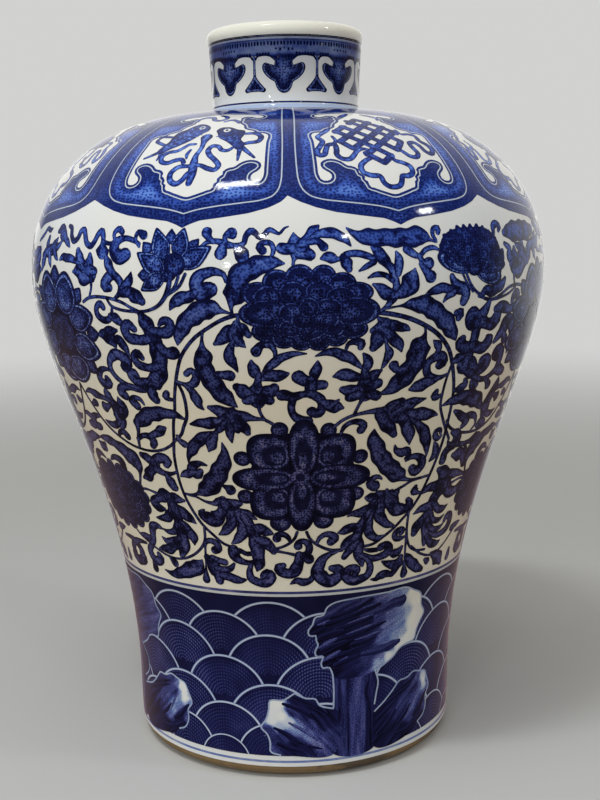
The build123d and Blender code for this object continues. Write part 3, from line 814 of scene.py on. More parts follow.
# Flower scroll: vines that loop round each large flower, with leaves, palmate sprigs and
# curls ending in buds. Every mark is one loaded brush stroke: turn and rise of its spine and
# its width in mm. Three pairs of columns go round the belly, a wide one and a narrow one.
wide_column = """
-8,224.5,1.4 -9.5,224.2,1.6 -12,222.5,1.5 -15,219,1.4 -17.5,215.5 -19.5,211.5 -21.3,206.5 -22.6,200.5 -23.6,194.5
  -24.4,189,1.3 -25.2,182 -26.2,176.3 -27.2,168 -28.2,160 -28.5,152 -28.4,146 -27.8,140 -26.4,133.3,1.4 -24.2,126.7
  -21.5,122 -18.7,118 -15.9,116.3 -14.3,115.3
-23.8,125.5,1.3 -24.6,118 -26,114.7 -28,111.7 -30,109.7 -32,108.3
-24.5,117,1.1 -25,111 -25.5,105 -26,99,4.2
-23.2,196,1.3 -22.3,190,1.4 -22.2,184 -22.6,179 -23.8,174.7 -24.8,171,1.3 -26.8,167.7,1.2 -28.4,165
16.5,224.3,1.4 18.5,224,1.8 21,223 24,221.2 27,218.5 30,215 32.5,210.8 34.5,206 35.8,201 37,195.5,1.7 38,190,1.6
  38.7,184,1.5 39.2,175 39.4,165.3 39.2,158.7 38.6,152 37.6,144.7 36.2,137.3 34.2,131.3 31.8,126.7 29.4,122.7
  26.1,118.7 23.3,116 20.5,115.3
35.8,199,1.3 35.3,193 35.2,187 35.5,181 37,175.3 38.8,170 41.4,163.5
33.4,130,1.3 33.7,124 34.2,117 34.8,110,1.2 35.2,104 35.7,98,4.6
33.9,121,1.3 34.8,115.5 36.3,111.3 38.5,109 43,107.8
-28.8,251.5,1.2 -29.8,254.5,1.6 -29.3,257.3,2 -28,256,3.6
-15.8,251.3,1 -14.5,253,1.8 -12.5,253.2,2.2 -11,252,3 -9.5,251.5,2 -7.7,252.3 -7.2,255.5,2.2 -6.3,257.2,2.6
  -5.4,256,2.2 -4.7,254.5,2 -3.9,255.5 -2.9,257.6 -2,256.8,1.6 -1.2,256,1.2 0,258.3,.8 .7,258.8,.4
-13.5,253.2,2 -14.3,254.8,2.6 -14.7,256.6,4.4
-11,252.5,2 -11.2,255 -10.1,256.3,4.6
-11.5,251.5,3 -12,248.6,4.8
-9,251,2.5 -8.5,249.5,4.5 -8,247.8,5.8
-2.6,246.8,1.2 -2.2,249.5,1.8 -2.6,252,2 -4,252.5,2.2 -4.9,250.8,2.4 -4.2,249.5,3.2
-10,224.5,1 -10.2,228,2 -9.6,231.5,8 -9.3,235,7 -8.6,239,8.5 -6.5,242.3,7.5 -4.3,244,7 -2.2,244.7,4.5 -.1,244.3,.4
-11,237.5,1.2 -11.3,240,2 -13,241.4,3 -15.5,240.3,4.6 -16.8,236.5,5.6 -15.8,233.2,6.5 -14.1,234.4,6
-17,233.3,3 -18.2,231.8,4.5 -20,230.8,4.8 -21.3,229.3,4 -22.4,226,.4
-10.3,225,.8 -12,226,2 -13.5,226.8,6 -15.5,226.4,7.5 -17.5,224.3 -19.3,221.3,6.5 -20.6,217.3,5.5 -21.3,214.2,3.5
  -21.6,211.5,.4
-9,223.5,1 -9.3,220,3 -11.3,216.8,5.5 -12.5,214.3,4.5 -13.9,212.5,1.4
-9.2,220.5,2.5 -8.2,219,3.6 -7.2,216.3,2.6
-9.5,221,2.5 -9.7,217,7 -9.6,214,5
-9.6,215,3 -8.6,212.5 -8,211.3,.8
-10.3,213.5,1.6 -11.2,208.5,4.2 -11,205.5,4.4 -10.2,202.5,2.2 -9.8,200.3,.4
-16.1,217.5,1.2 -16.4,214,1.3 -16.5,211.5,2.4 -16.5,208,6.8 -16.7,204,7.2 -16.3,200,7 -15.3,195.5,7.5 -14,191.5
  -12.3,187.7,5.5 -10.8,185,1
-14,199.6,2.5 -12.8,199,3.6 -11.6,199,4.6
-23,195.5,1.2 -21,194.2,2.4 -19.2,195.5,3.6 -18.6,198.3,3.4 -19.6,200.8,2.6 -20.7,199.3
-21.5,194.3,1.6 -20,191,3.6 -19.4,188,4.4 -19,185,3 -18.2,183.3,.8
-24.7,187.2,1.2 -25.8,187.3,2 -26.7,188.6,3.2 -26.2,190,2.8
-2.4,206.5,1.2 -2.3,209,1.8 -3.2,211.9,2.6 -5,212,3 -5.9,209.3,4.2
-4.8,200,1.5 -3.2,203.5,3.5 -1.2,206.5,3.4 1.2,208.2,2.4 3.8,208.2,.5
-5.6,197.5,2 -6.5,200.8,5 -6.9,203,4 -7,206,.6
-5,197.5,2 -3.6,198.8,5 -2,199,4.8 -.5,199.4,3 .4,200,.6
-5.7,199,2.4 -6.1,195,3.6 -6.2,191.5,9 -6.2,187.5,6
-7.5,190,4 -9.5,192.5,6 -10.3,193.8,3.5
-5,190,4 -3.6,192,6 -2.8,193.5,4
-6.5,189,4 -8.5,187.9
-5.8,189,4 -3.9,188,4.2
-6.2,187,2 -6,183,1.3 -5.2,179.5 -4.6,178.3
5.3,196.5,2 5.4,199.5,4.4 5.8,202.5,3.6 5.9,205.3,.5
4.4,195.5,4 2.2,198,5.6
4.8,194,4 7,194.5,4.2
4.7,197,3.5 4.6,193.5,5 4.8,190.5,4
2.5,190.3,2.5 4.8,190.5,3.6 6.6,188,3.8 7.1,184.5,3.6 6.4,181.6 5,182.4,4.4
2.8,190.3,3 .8,189.5,4 -1.2,190.3,4.6
1,188.5,3 .6,185 1,181.5 2.2,179,4 4,178,4.5
7.3,186.5,3 9,184.7,5.4 10.5,184.2,4.5 11.4,183.7,1.5
9.3,185.5,3 10.7,187.8,.6
1.3,243,1.2 1.5,246,1.8 2,248.5,8 2,251,8.5 1.6,254,4 1.5,256,.8
1.2,250,4 -.6,250.2,4.4
2.6,248.5,4.5 4.3,247.6,4.6
3,251,5 4,253.8,3.4 5.2,257,4 6.3,259.2,.6
4.3,253.6,1.6 7,256,3.5 9.5,255.3,4 11.2,253,2.6 12.1,250.5,.5
4.3,252.5,2.4 6,252.6,2.6 7,250.6,3.4
6.2,245.8,.5 7.3,246.5,3.4 8.5,246.2,4.2 9.5,245.6,1.8 11,247.3,2.4 13,247.8,2.6 15,246.8 16.7,245.3,2
10.5,246.5,2.5 11.2,243.5,4.6 11.5,242,3
16.4,244.3,2.2 14.7,242.4,2 13.3,240.7,.5
16,250,1 17.2,248,4.5 18.3,245.3 19.2,242.5,3
17.2,224.3,1.4 18.5,226,1.6 19.5,228.2,2.6 20.5,231.5,4 20.7,235,3 20.2,239,3.2 19.5,242.5,3
21.1,239.5,2.5 21.3,243.5,4 21.2,246,3 20.7,248.5,.5
20,231,4 18.3,232.5,5.2 17.2,234.4,3.2 16.1,235.5,1
15,238,.5 16.5,239.3,2 18.5,239 20,236.8
20.9,231,3 22.5,232.6,6 23.6,235.6,8 24.2,238.6,5.5 24.6,241,1
11.3,258,.5 13,255.3,3 15.5,254,6.5 18,253.8,6.2 20.5,253.7,7 23,253.6,6.8 25.5,254,7.6 27.3,253.6,5 28.2,252.6,1.6
  29.7,251.8,1.2 29,254.5,1.8 29.3,257,2 30.5,257,2.4 30.3,255.5,2.2
23,249,3.2 24,247.5 25.6,246.2,2 27,248.5 29,249.3,1.8 30,248.5,1
25.7,246,2.2 26.3,243.8,2.6 27.6,243.3,4.8
25.9,243,2 26.8,240.5,3 28,238,5
26.5,229.8,.6 28.5,232,3 31,233,4 33,232.3,3.4 35,231.5,3
33,237.5,2.5 33.4,235.5,3.5 34.5,233.5,5 36,232 36.8,229.5,4.5 36.2,227.2,4
31,227,.5 32,229.5,2.5 33.5,231,3
19,225.9,1 22,226.7,1.2 24.3,227,5 26.5,226.8,7 28.5,225,7.5 30.3,222.3,7 32.3,219,7.5 34,215,6 35.2,212,3
  35.6,210.5,.5
17.2,222.5,1 18.3,220.3,4 21.3,218.2 23.5,217.2,2.4 24.2,216.3,.6
18.8,219.5,5 18.3,216.5,6.6 17.5,213,6 16.8,210,3.6
17.8,218.5,4 16.4,217,2.6
18.8,216.5,4 21.1,212.7,4.6 22.4,209.7,3.4 22.8,207.7,1
19,214,1.2 19.6,210,1.8 20.2,207.5,3.8 19.8,204.5,3 19.2,201.5,1.6 18.8,200.3,.4
11.3,209.5,1.2 11.7,211.8,1.8 13,212.7,2.6 14.3,211.7,3.4 14.2,210.3,2.6
27.3,218.3,1.2 27.7,215,1.3 27.5,213,3 27,210.5,8.5 26.7,207,9.5 26.3,203,8.8 25.3,199,9 24,195.5,8.5
  22.3,192.3,6.5 20.5,190,3 19,189,.5
24,199.8,2 22.5,199.5,3 21.5,201.5,4.2
35.5,196,1 33.8,194.5,2 31.5,194.7,3 29.6,197.3,3.6 29.4,201 31,204,4 33,203.8 33.6,201.3 32.5,200.4
30,211.2,1 31,209.5,3.6 31.6,207.5,3 31,205.3,1.6
33.5,194.5,1.6 31,192.8,4 29,192,5.8 27.5,191,4.8 25.8,190,.6
35,186.5,1 34.3,185.4,2.4 33,186,4 33.3,188,2.4
14.6,201.5,1.4 13,204.5,3.4 10.5,207.5,4.4 8,208.7,3 5.3,207,.5
15.3,199.5,2.5 16,203,4.4 15.5,205.8,3 14.7,207.8,.6
14.5,197,3 12,198.3,5.2 10.3,198.6,4 9.2,198,1.2
15.8,195,4 17.7,198.3,4.4 19,199.8,1
15.3,200,2.6 15.8,195,6 16,190.5,8
15,191,5 13,191,6 11.2,192,3
16.5,192,4 18.4,194,4.6
16.5,189.5,4 18.5,188.5,4.5
14.5,189.4,4 12.8,188.4
15.7,188,2 15,185,1.3 14.4,182 14,180
-16.3,172.7,1.5 -19,170.5,4.5 -21.3,167.5,5 -23,163.5,4.5 -24.2,160,2 -24.6,157,.4
-16,173,1.5 -17.5,169,5 -18,166,4.5 -18.7,163.5,.8
-26,170,1.4 -25.7,168,2.4 -24.6,166.3,3.4
-15.2,168.2,.4 -14.9,163,3.5 -15.6,158,6.5 -17,153.5,7.5 -18.5,149.5,8 -20.3,146 -22.3,143.5,5.5 -23.6,142.3,2
  -25.5,141.3,1.3 -27.8,141.5,1.2
-26.5,141,1 -24.5,140.5 -22.2,138.6,1.2 -20,137.8,2
-20,156.6,1 -21.5,157.3,2.4 -23.3,156,4 -24.3,153.5,4.2 -22.8,151.8,4.4 -21.8,153.5,2.6
-24,152.5,3 -26,151.5,4 -27.3,150.5,1.6 -27.8,149.8,.5
-17.2,147.5,1 -16,146.5,2 -14.9,145.3,5
-20,137.8,2 -18.5,138.5,4 -17.2,140,3.6
-18,138.3,4 -14.5,138.3,4.6 -12.8,138.5,3 -11.9,138.6,.6
-17.3,137.5,4 -18,134.5 -19.2,131.3,7 -21,129.8 -23,131,5.5 -24.2,132.8,2.5 -23,134.2,1.2
-16,134.5,5 -13,133.8 -11,133,4.5 -8.8,131,.8
-16.5,137.5,5 -15.3,133 -15.6,129.5,4.8 -16.4,126.8,5 -17.7,124.3,4 -19.9,122.2,.5
-13.5,133,4 -12.3,128,5.5 -13,124 -14.5,120.5,4 -16.5,118.2,.5
-12,132,4 -10.3,126,5 -9.7,121,6 -9.3,116,6.5 -9,111,5.5 -9.4,107,4 -9.8,105.5,1.2
-9.8,126.5,4 -7.8,126,5.4 -6,124.7,4 -4.5,123.6,.6
-8.8,121,4 -6.7,119.3,5.5 -5.5,117.2,4.5 -4.8,115,3
-16,115.2,5.4 -16,112.5,6 -14.6,110.3,4 -12.5,109.2,2.8 -10,109.6,2.6
-14.3,115.3,2.2 -12.5,113.7,2.4 -10.3,114
1.7,124.6,1.3 1,121.5 -.8,118.7 -3,117 -4.8,115.8,2 -3,115,1.4 -1,114.3,1.3 .8,113.5,1.6
4.2,124.5,1.3 5,121.5 6.5,118.8 8.5,116.7,1.4 11,115,1.6 14,114.6,2
-.2,119.5,1 -.6,121.8,2.2 -1.8,123.5,2.8 -3.3,123.3,3.2 -3.8,121.5,3.8
1.9,117.6,3.8 2.2,119.4,3.2 3.6,120,3 4.9,117.8,3.2 4.7,114.5,3.4 3.6,112.5,4
3.6,113,4 4.9,111,5
2.2,113.5,3.5 2,109.5,5 1.2,106,6 -.6,104.2,5.5 -2.8,105,5 -3.6,107.3,4 -2.3,108.2,3
-11.3,108.5,2 -12,105,3 -11.6,101.5,4 -9.6,99.6,4.4 -7,100,5 -5.6,102.5,4.6 -6.8,104.2 -7.8,102.8,4.2
-.5,98.8,.5 1.5,100.5,3.4 3.5,99.8,4 5.2,100.4,3.2 6.4,103,2.6
-24.5,110.3,3.6 -23.2,108,7 -22.5,105 -21.5,102 -21.5,99.3,4.5
-22.8,110.5,3 -21.6,109.5,3.4 -19.2,108.7,3.6
-22,105.5,3.4 -19.5,105 -17.5,106,3 -16.4,108.3,1.4
-20.5,102,4 -17.5,101.2,4.8 -15,100.2,3.5 -13,100.8,.8
-24.8,115.5,1.4 -24.2,118,2.4 -22.5,119,3 -20.8,117.5,3.4 -20.6,115,3.8 -21.6,114.3,4.2
-41.8,100,.5 -39,98.8,3 -36,99.5,5.5 -33,101.5,7 -30,103.5,8.5 -27.6,106,6.5 -26.4,108.5,1
-16.8,184.3,2 -15,183,5 -13,181,7 -11.5,180,8 -9.5,180.3,5 -7,179.5,2 -5,179,1.3 -3.5,177.2,1.4
-12.5,179.5,7 -11.2,176.5 -9.6,175,5 -9,172.8,2.5
-13,179,6 -14.5,178,4.5 -17.5,177,5 -20,176.7,3.5 -22.2,176,.6
-13,176,4 -13,171.8,3.4 -12.8,168.3,.8
-14,177,3 -15.5,174 -16.3,172.7,1.6
10,175.3,1.4 11.5,177.8 13.5,179.7 16,180.8,1.6 19,181.3,3 21,180.5,6 23.5,179.5,8 26,177,6
22,182.3,5 24.5,184.5,4.5
24,181,5 27,183.5,5.5 29,184.5,3 31,185.3,.5
25.5,178.7,4 29.5,178,6 32.5,177.5,5 34.5,177,2 35.4,176.5,.5
20.2,179.5,5 21.5,175.5,5.5 23,172.5,5 24.3,169.5,3
25.8,177,5 27.5,172,5.5 28.5,168,5 29,164,.8
28.3,176,2 31,172,4 32.8,168,5.5 34,163.5,4.5 34.8,159,2 35.1,156.3,.4
19.2,173,.5 19.2,169,5 20.2,165,6.5 21.2,161,7 22.8,157,7.5 24.7,153.5 26.5,150.5 28.3,148.5,6 29.5,147,2.5
  31.5,146,1.4 34,146,1.3 37.3,146.6,1.2
27.5,141.5,1.4 29.8,143.3,1.3 32,145.2,1.2 34,145.9
11.5,172,1.2 12.2,175,2 13.6,176.8,2.2 15.3,176.8,2.8 16.6,175,3.2 16,173,3.6
25,164.5,.5 25.6,161.8,2.5 27,160.5,4 28.5,160.3,4.5 29.4,158.5,2.6 28.8,156.3,2 30,157.3,2.4 31.8,157.5,3
  33.7,155.5,4 34,152,4.5 32.6,150,4.8 31.4,151.6,4
38.3,166,1.2 37.6,164.8,2.4 36.2,166.5,3 36.3,168.8,2.4 37.5,169,2 37.8,167.5,1.6
36.6,163,1.2 37.4,160.5,3.4 37.8,157.5,3.6 37,154.8,2.2 36.3,153.6,.6
23,148.3,1 22,149.5,2 20.5,148.8,3 20,146.5,3.4 21.3,145,5
36.5,138.5,1.2 35,138.7,2 33.7,140,4.4 33.9,142,2
19,139.8,.6 20,139.6,3.5 22,139,5 25,137.8,7 27,136.5
22.5,141.5,2.4 24.5,140,4.5
25,142.5,1.5 25.5,140,4
26,139.5,5 28,140.5,4 28.4,141.8,2
26.5,137,6 28,133.5,6.5 30,131.5,6 32,131.8,5 33,134,4 32.2,136,2.6
24,135.5,3 20.5,133.5,5 18,132.5,4.5 15.8,132,2 14.8,131,.5
23.5,136,5 24,130.5,5.5 25.3,127,4.6 27.3,124.7,3.4 29.5,123.4,1
21.8,136,4.5 20.9,129.5 21.2,124.5,4.6 22.3,120.5,4.2 24.3,118.7,3.4 26.5,119.8,.6
20.6,132,3 18.9,126,4.4 18.2,121.5,5 18.7,116.5,5.5 19.2,112,5 20.2,108,4 20.7,105.8,1.5
18.3,126,2.5 16.3,125.5,4.6 14.3,124,4 12.5,123.2,.6
18,121,4 16,119,5 14.8,116.5,4
17.5,116.5,4 16,113.5 15,111,3
7,118.8,1.6 7.8,121.5,2.2 9.3,123,2.8 11,122.5,3.4 12.1,120.7,3.6 11,119.2,4.2
20.2,110.8,3.5 23,109,3.6 25.5,108.9,3.8 28,110.3,4.8 28.7,112.8,4.6 27.6,114.8,4 26,113.8,4.2
20.5,114,1 22.5,113,2.4 24.8,112.8
13,114,1 10.5,112.8,3 8.2,109.3,5 7.6,104.5,6.5 9.3,100.8,6.8 12,100,6.5 13.8,102.5,5.5 13,105.5,5 11.6,106,3.5
20.8,110,2 22.6,107.5,3 23.3,104,3.6 22.5,100.5,4.2 20,98.9,4.6 17,99.5,5.4 15.8,102.5,5 17.2,105,4.6 19,104.3,4.2
  18.8,102.5,3.6
33.2,112,2 32,110,4.5 30.5,109.5,5 29.5,110,2
27,106.5,1 28.7,105,3.4 31,104,5 33,103.8,5.5
33.5,107,3 32.8,104,5 32,101,4 31,99,3
23.7,98.3,.5 25.5,98,2.5 27,99.5,4.5 29,99.8,4 30.5,99,2.6
33.7,117.3,1.2 32.2,116.5,2.4 30.4,117.2,3 30,119.5,3.2 31.3,121.3,3 32.7,120.7,2.8 32,119,2.4
35.2,108.3,.8 36.3,106,4 38,103,5.5 40.3,100 43,97.8,3
-30,225.2,1.2 -27,225.9 -24.7,228,1.4 -23,232,1.8 -22.2,236,2 -21.8,240,1.6
-23.3,231.5,1 -21,235.5,1.2 -20.2,239.5
-22.7,232,1 -20,236,1.2 -18.8,240.5
36.5,239,1.2 37.5,235 39,231.5 41,229
35.5,239,1 37,234 38.5,231
"""
narrow_side = """
-46.8,240.9,1.4 -45.2,241.2,6 -43,240,9 -41.4,240.4,7.5
-43.6,243,5 -45,247,5.6 -45.4,249.6,3
-42,242.5,6 -41.5,245.8,4.8 -41.5,247.8,2.4
-41.5,241.6,5 -40,241.4,3.4
-41,238.5,2 -41.2,234,1.2 -41.8,231
-36.8,246.8,2.5 -36.3,244.5,4.5 -35.3,241.5,3.6 -34.5,239.5,3
-44,190,1 -44,187.5,4.5 -43.2,184,4.4 -42.5,181,6 -42,177,7 -42.3,173.5,6
-52.8,186.3,.8 -51,187.3,2.6 -48.5,186,4 -46,185,2.6 -43.5,183.5,2.4
-51.5,180.7,2 -50,181.5,4
-43.2,182.5,2 -44.8,181.2,2.4 -46.3,180.3,5
-54.5,163.5,1 -51,163.3,4.5 -47.5,161.5,5 -44.5,158.5,7.5 -42.3,155.5,8.4 -41.2,152,6 -41.3,149,2 -42,145.5,1.3
  -43,142 -43.7,140.3 -41,141,1.2 -38.5,140.3 -36.5,139.3,2
-53,152.5,1 -51.5,154,2.4 -49.5,154.3,3.4 -47.7,152.3,4.6 -47.6,150,4.4
-56,160.5,2 -54,158.5,4.6
-50.5,175,1.6 -52.5,174.7,3 -54.3,172.5,4 -53.7,169.7,4.8 -51.9,169.5,3.4
-48.2,173.5,.8 -46.5,172,3 -44.5,172,3.4 -43,173.5,3
-44.8,166.3,1.4 -44,168.3,2.4 -42.2,168.8,3.4 -41.5,167,3.6
-49.5,116,1 -47.5,115.5,3.4 -44.5,114.5,4
-46.3,103,2.5 -46.2,99.3,4.6
-48,111.5,1.6 -51,111.5,2.6 -55,109.8,4 -57,106,4.4 -56.3,102,4.8 -53.5,100.5,5.2 -51.5,102.5,4.8 -52.4,104.5,4.4
"""
narrow_near_curls = """
-44,228.5,1.3 -42.5,230 -40.5,230.8 -38,230.8 -35.5,230.2 -33,228.8 -31,226.8 -29.3,225,2 -28.2,221.5,6 -27.2,217
  -26.5,212,6.5 -26.3,207,7 -26.5,202 -27,198,6.5 -28.3,194.5,6
-37,230.3,1.1 -36,227.5,1.2 -34,226 -31.5,225.4 -29.5,225.3
-34.8,230.5,1.2 -33.5,232.5,2.4 -33,236.5,3.4 -34.5,239.6,3.6 -36.5,238.5,4.6 -37.2,235.7,4.8 -36,234.8,3.4
-33.2,233,3 -31.8,236,4 -30.8,238.5,3.4 -30.5,241,.8
-33,232.5,3 -31,233,5 -29.5,231.3,5.5 -28.3,229.6,3.5
-38.2,226.5,2.6 -38.8,228,3 -40.1,226.5,2.6 -40.2,223.5,3 -38.8,221.3 -36.8,222,2.6 -36,224.5,1.6 -35.8,226.5,1.2
-36.6,223,2.5 -35.2,222,4.5 -34,220.3,3
-26.8,217.5,3 -24.5,216.8,4.6 -22.8,218.2 -22.7,221,4 -24.2,221.6,3 -25,220,1.6
-26,211.5,4 -24.5,208.5,4.4 -22.7,208.2,5.2
-28,214,4 -30.5,213.3,4.4 -32.8,214.7,4.6 -33.4,218 -32.2,219.8,4 -31,218,3
-27.2,202,4 -29.5,201.2,3.6 -31.8,203,3.8 -32.4,206 -31.2,207.3,3.6 -30.4,205.6,2.6
-28.3,197,5 -30,194.8,4 -32,194.6,3.6 -34,195.5,4 -34.5,197.8 -33.3,198.6,3.4 -32.6,197,2
-28.7,194,5 -31,191.5,3.4 -33.5,191.2,3.2 -36,191.8 -38.3,190.8,4 -38.8,188.5,4.4 -37.9,187.3
-30,192,3.5 -29.8,188.4,5.4 -29.3,186.8,4
-34,191.8,1.6 -36.5,193,2 -38.8,195.5,2.6 -40,199.5,2.8 -39.5,203.5,3.4 -37.8,206,4.6 -35.8,205.8,5 -34.7,203.3,5.4
  -35.4,201,5
-40,198.3,1.2 -41.5,199.2,2 -43.8,197.8,3 -44.7,194.5,3.8 -43.3,191.7,4.4 -41.8,192.7,4.2 -42.2,194.6,3
-41.3,214.5,.6 -40,214.8,4 -38.3,214.5,7 -37,216.5,4.5 -35.6,217,1.5
-38.2,213.5,5 -37,211,4 -36.8,209.5,1.5
-37,213.5,2 -35.3,212.5,4.6 -34.2,209.5,3.6 -33.5,206,.8
-33,184,1.2 -33.6,186,2 -35.3,186.7,2.6 -36.4,185,3.4 -35.2,183.2,4.4
-40.5,186,1 -40.3,183.5,4.5 -39.7,180.5,5.5 -41.3,178,5
-36.8,174.5,4 -35,176,6.5 -33,178.7 -30.5,180 -28,180.5,5 -25.5,180.3,3.6 -23.2,178.3,1
-28.4,165,1.2 -30.4,163 -33,161.6 -35.5,161.2 -38,161.7 -41,163 -44,165.5 -47,169,1.3 -49.5,173.5 -51.5,179 -53,184
  -54.5,190
-38.3,162.5,1.3 -38,166,1.6 -37.2,170,1.8 -36.8,174,3
-38,166.5,2 -36,168.5,2.4 -34,168.3,3.4 -33.2,165.5,4 -33.8,163.9,3
-34,168.5,2.5 -31.5,170.5,3.6 -29.8,172.5,4 -28.4,173.8,.6
-38.5,158.5,3 -37,157.3,4.6 -35.3,155 -36,152.5,4.4 -37.3,150.3,4.8 -38.7,147.7 -40.2,146.8,1.5
-35,153.5,5 -34.2,156.8,4.8 -32.3,158.4,4.6 -30.6,156.8,4.4 -31.2,155.2,3.6
-35,152.5,4 -32.5,150.7,3 -30,151,1.6 -28.6,152,1.2
-32,150,2 -31.2,146.5,5 -30.5,144.2,4
-36,139.5,3 -34.8,141,3.6 -33,138.8,5 -30.5,138.3,4.6 -28.5,137.8,1.5
-34,138,4 -37.3,136.8 -39.3,134.6,4.8 -37.8,132.6 -35.8,132,2
-33.3,138.5,5 -32.5,135 -30,131.5,6 -28,129.5,5 -26.3,127,1
-39.8,126.8,.8 -37.8,127,3 -35.5,128,4.6 -33.6,131,4.4 -33,135,4
-38.5,121.5,.8 -36.5,120.5,2.6 -34,121.5,3.6 -32.2,125,5 -31.8,129 -32.3,134
-31.5,126,5 -29.2,122.5,6 -28,119,5 -28,116,1
-31.9,124,6 -31.7,116.5,7 -32.3,112.5,6 -33.3,109.5,3
-39.5,117,1 -38,115.3,3.6 -36,116,4 -33,117.5,3.4
-42,110.5,1 -40,111,4 -37.5,111.6,5.4 -35,113.3,3.6 -33,114,3
-38.8,121.5,1.4 -40.5,122.6,3.4 -42.5,121.5,4.6 -43.5,118.5,4.4 -43.7,115,4 -45,112,3.6 -46.7,108.5,4.2
  -46.3,104.8,4.8 -44,103.7,5.2 -42.2,105.2,4.4 -43,107.1,3.2
-38,106.8,2 -36.7,104.7,4.5
-32,108.3,1.3 -35,107.3,1.2 -38,107.5 -41,108.7 -44,110.7 -47,113 -50,115.5 -52,118.5
"""
narrow_far_curls = """
40.4,229.8,1.3 42,227.8 43.8,226.9 45.9,227.6 48,229.4 50.4,231.6 53,232.4 56,231.6 58,230.2
40.2,228.8,1.1 42.6,227.6 45.4,227 48,227.8 50.6,229.2 52.4,231
41.2,229.6,2.4 42.4,231,4 44,230.6,4.6 46,231.6 47.8,233.6,3.6 48.4,235.4,2
43.8,226,2.4 42.4,221.4,6 41.3,216.5,5.6 40.9,211,5 40.4,206.5,5.4 40.1,202,6.2 41,197.4,6.4 42.6,194,4
42.4,217.6,5 44.4,216.5 46.3,217.2,6.4 47.4,219.4,5.6 46.6,220.6,3.4
40.6,217,4.6 38.9,217.6,5.4 38.4,219.8 39.2,222.2,4.6 40.4,221.4,4
34.7,222.4,3 35.6,221.9,4.8 35.4,220.6,3.4
39.8,206.6,5 38.2,207.4,5.6 36.9,209.2,5.4 37.5,210.8,3.6
41.2,207.2,5 43,206 45,206.8,5.8 46.1,209,5.6 45.2,210.4,3
36.1,201.2,2 37.2,202.1,4.6 38.2,202.6,3.2
40.2,200.4,6 39.2,197.8 38.6,198.6,4.4
41.9,200.2,4.6 43,196.7,5.4 45,195.6,5.6 46.8,196.8,5.2 47.5,199.2,4.8 46.6,201,4.4 45.2,199.8,4
42.4,194.6,4.4 44.5,192.4,3 47.3,190.7,2.6 50,191.9,2.8 52,194.6,4 52.6,198.6,4.4 51.9,202.8,5 50.5,203.8,6
  49.8,202,5 50.8,199.6,2.6
52,194.2,3.6 54,193.7,5.4 55.7,192.8,3.6
48.4,190.8,1.4 49.8,189,3 50.6,187.5,4.4
43.4,190.6,1.8 44.2,188.9,4.6 45.4,188.5,4
38.8,187.4,2 40.5,188.2,4.2 41.6,190,3.6 41.1,191.9,2
48.1,208.2,2.4 49.5,211,5 50.7,214.2,7 51.9,217.4,6.2 53.5,218.6,1.6
51.3,210.8,3 51.9,208.6,4.8
46.2,222.8,3 48.6,223.6,5 51.2,222,4 53.4,223.3,3.2 54.6,226 53.9,228.6,4 52.5,227.4 52.1,225.4,2.6
53.4,212.2,1.6 54.6,210.4,3 54.9,208.6,1.8
54.2,206.8,2 55,204.6,3.2 54.9,202.2,1.8
36.2,180.9,1 38.6,182.6,4 42,183.4,6.4 45.4,182.4,7.4 48.4,180.2,6.6 50.6,176.8,2.6
38.8,173,1.3 40.1,170 43.6,166.6 48.3,164.9 54,165.4 58.8,169.4 61.6,175 63.6,182 65.5,190
40.6,177.2,1.6 42.6,175.2,3.6 44.6,173,4 46.2,171,4.8 45.2,168.8,3
44.6,173.4,2.6 47.6,173.6,3.4 50,171.4,2 50.6,168.4,1.4 49.4,165.4,1.2
51.4,167.2,1.6 52.6,169,3.6 54.2,168.4,4.2
41.9,166.6,2 43.4,165.8,4.4 44.7,163.4,5.4 44,160.6 42.4,158.4,4.4 41.2,156,4 41.4,153,4.4
41.2,162.6,1 42,160.6,2.6 43.6,160,4
44.4,160.2,3.6 47.4,159.4,2.4 50.4,159.8,2.8 53,161.4,4.6 54.8,162.6,1.6
48.4,158.8,1.2 50,156.4,2 50.2,154,2.4
45,154.6,2.6 47.2,154.4,7 49.4,153,4.4 50.4,150.4,3.6 51.3,148.6,3.8
40.8,148.6,2.6 42.4,147.2,6 44,144.4,8 45.2,141
44.6,144.4,5 47.4,144.6 50.6,143.8,3 53,143,1.6 55.4,142.4,1.4
37.1,138.2,1.6 38.8,140,4.4 41,140.4,5 44,140,6.4
45,139.6,7 47.2,136.4,6 49.6,134.6,5.4 51.6,136,4.6 52.6,138.2,2.6
44.4,139.4,7 42.4,134.6,6.4 41.2,128.6 41.2,122.6,6 41.7,116.6,5.4 42.3,111,3
35.4,128,1 37.6,129.8,4 40.2,130.4,4.8
37,118,4 37.7,121,6.4 39.4,124.4,5 40.8,126.4,4
42.2,131.4,3.4 44.6,128,4 47.4,126.9,3.6 49,128.4,.8
42,126.6,3 44,122.4,3.2 46.6,121.5,2.8 48.6,123.4,.8
42.4,120.6,3 44.6,117.4,3.6 47.6,117,3 49.6,118.8,.8
43.6,115.4,2.6 48,113.6,3.4 51.4,115,4.4 52.9,118.4 52,121.8 50.4,122.2,4 49.7,120,2.6
42.6,114.6,3.6 45.2,110.4,4.6 48.2,109.1,3.4 49.9,110.2,.8
36.8,111.4,1.2 41.2,106.4 46,104 50.6,105.4 54.4,109.6 58,115
44,102.4,2 45.2,101.2,4
46.6,104.4,2.4 49,102.8,6 51,100.6,8 52.8,97.8,3
"""
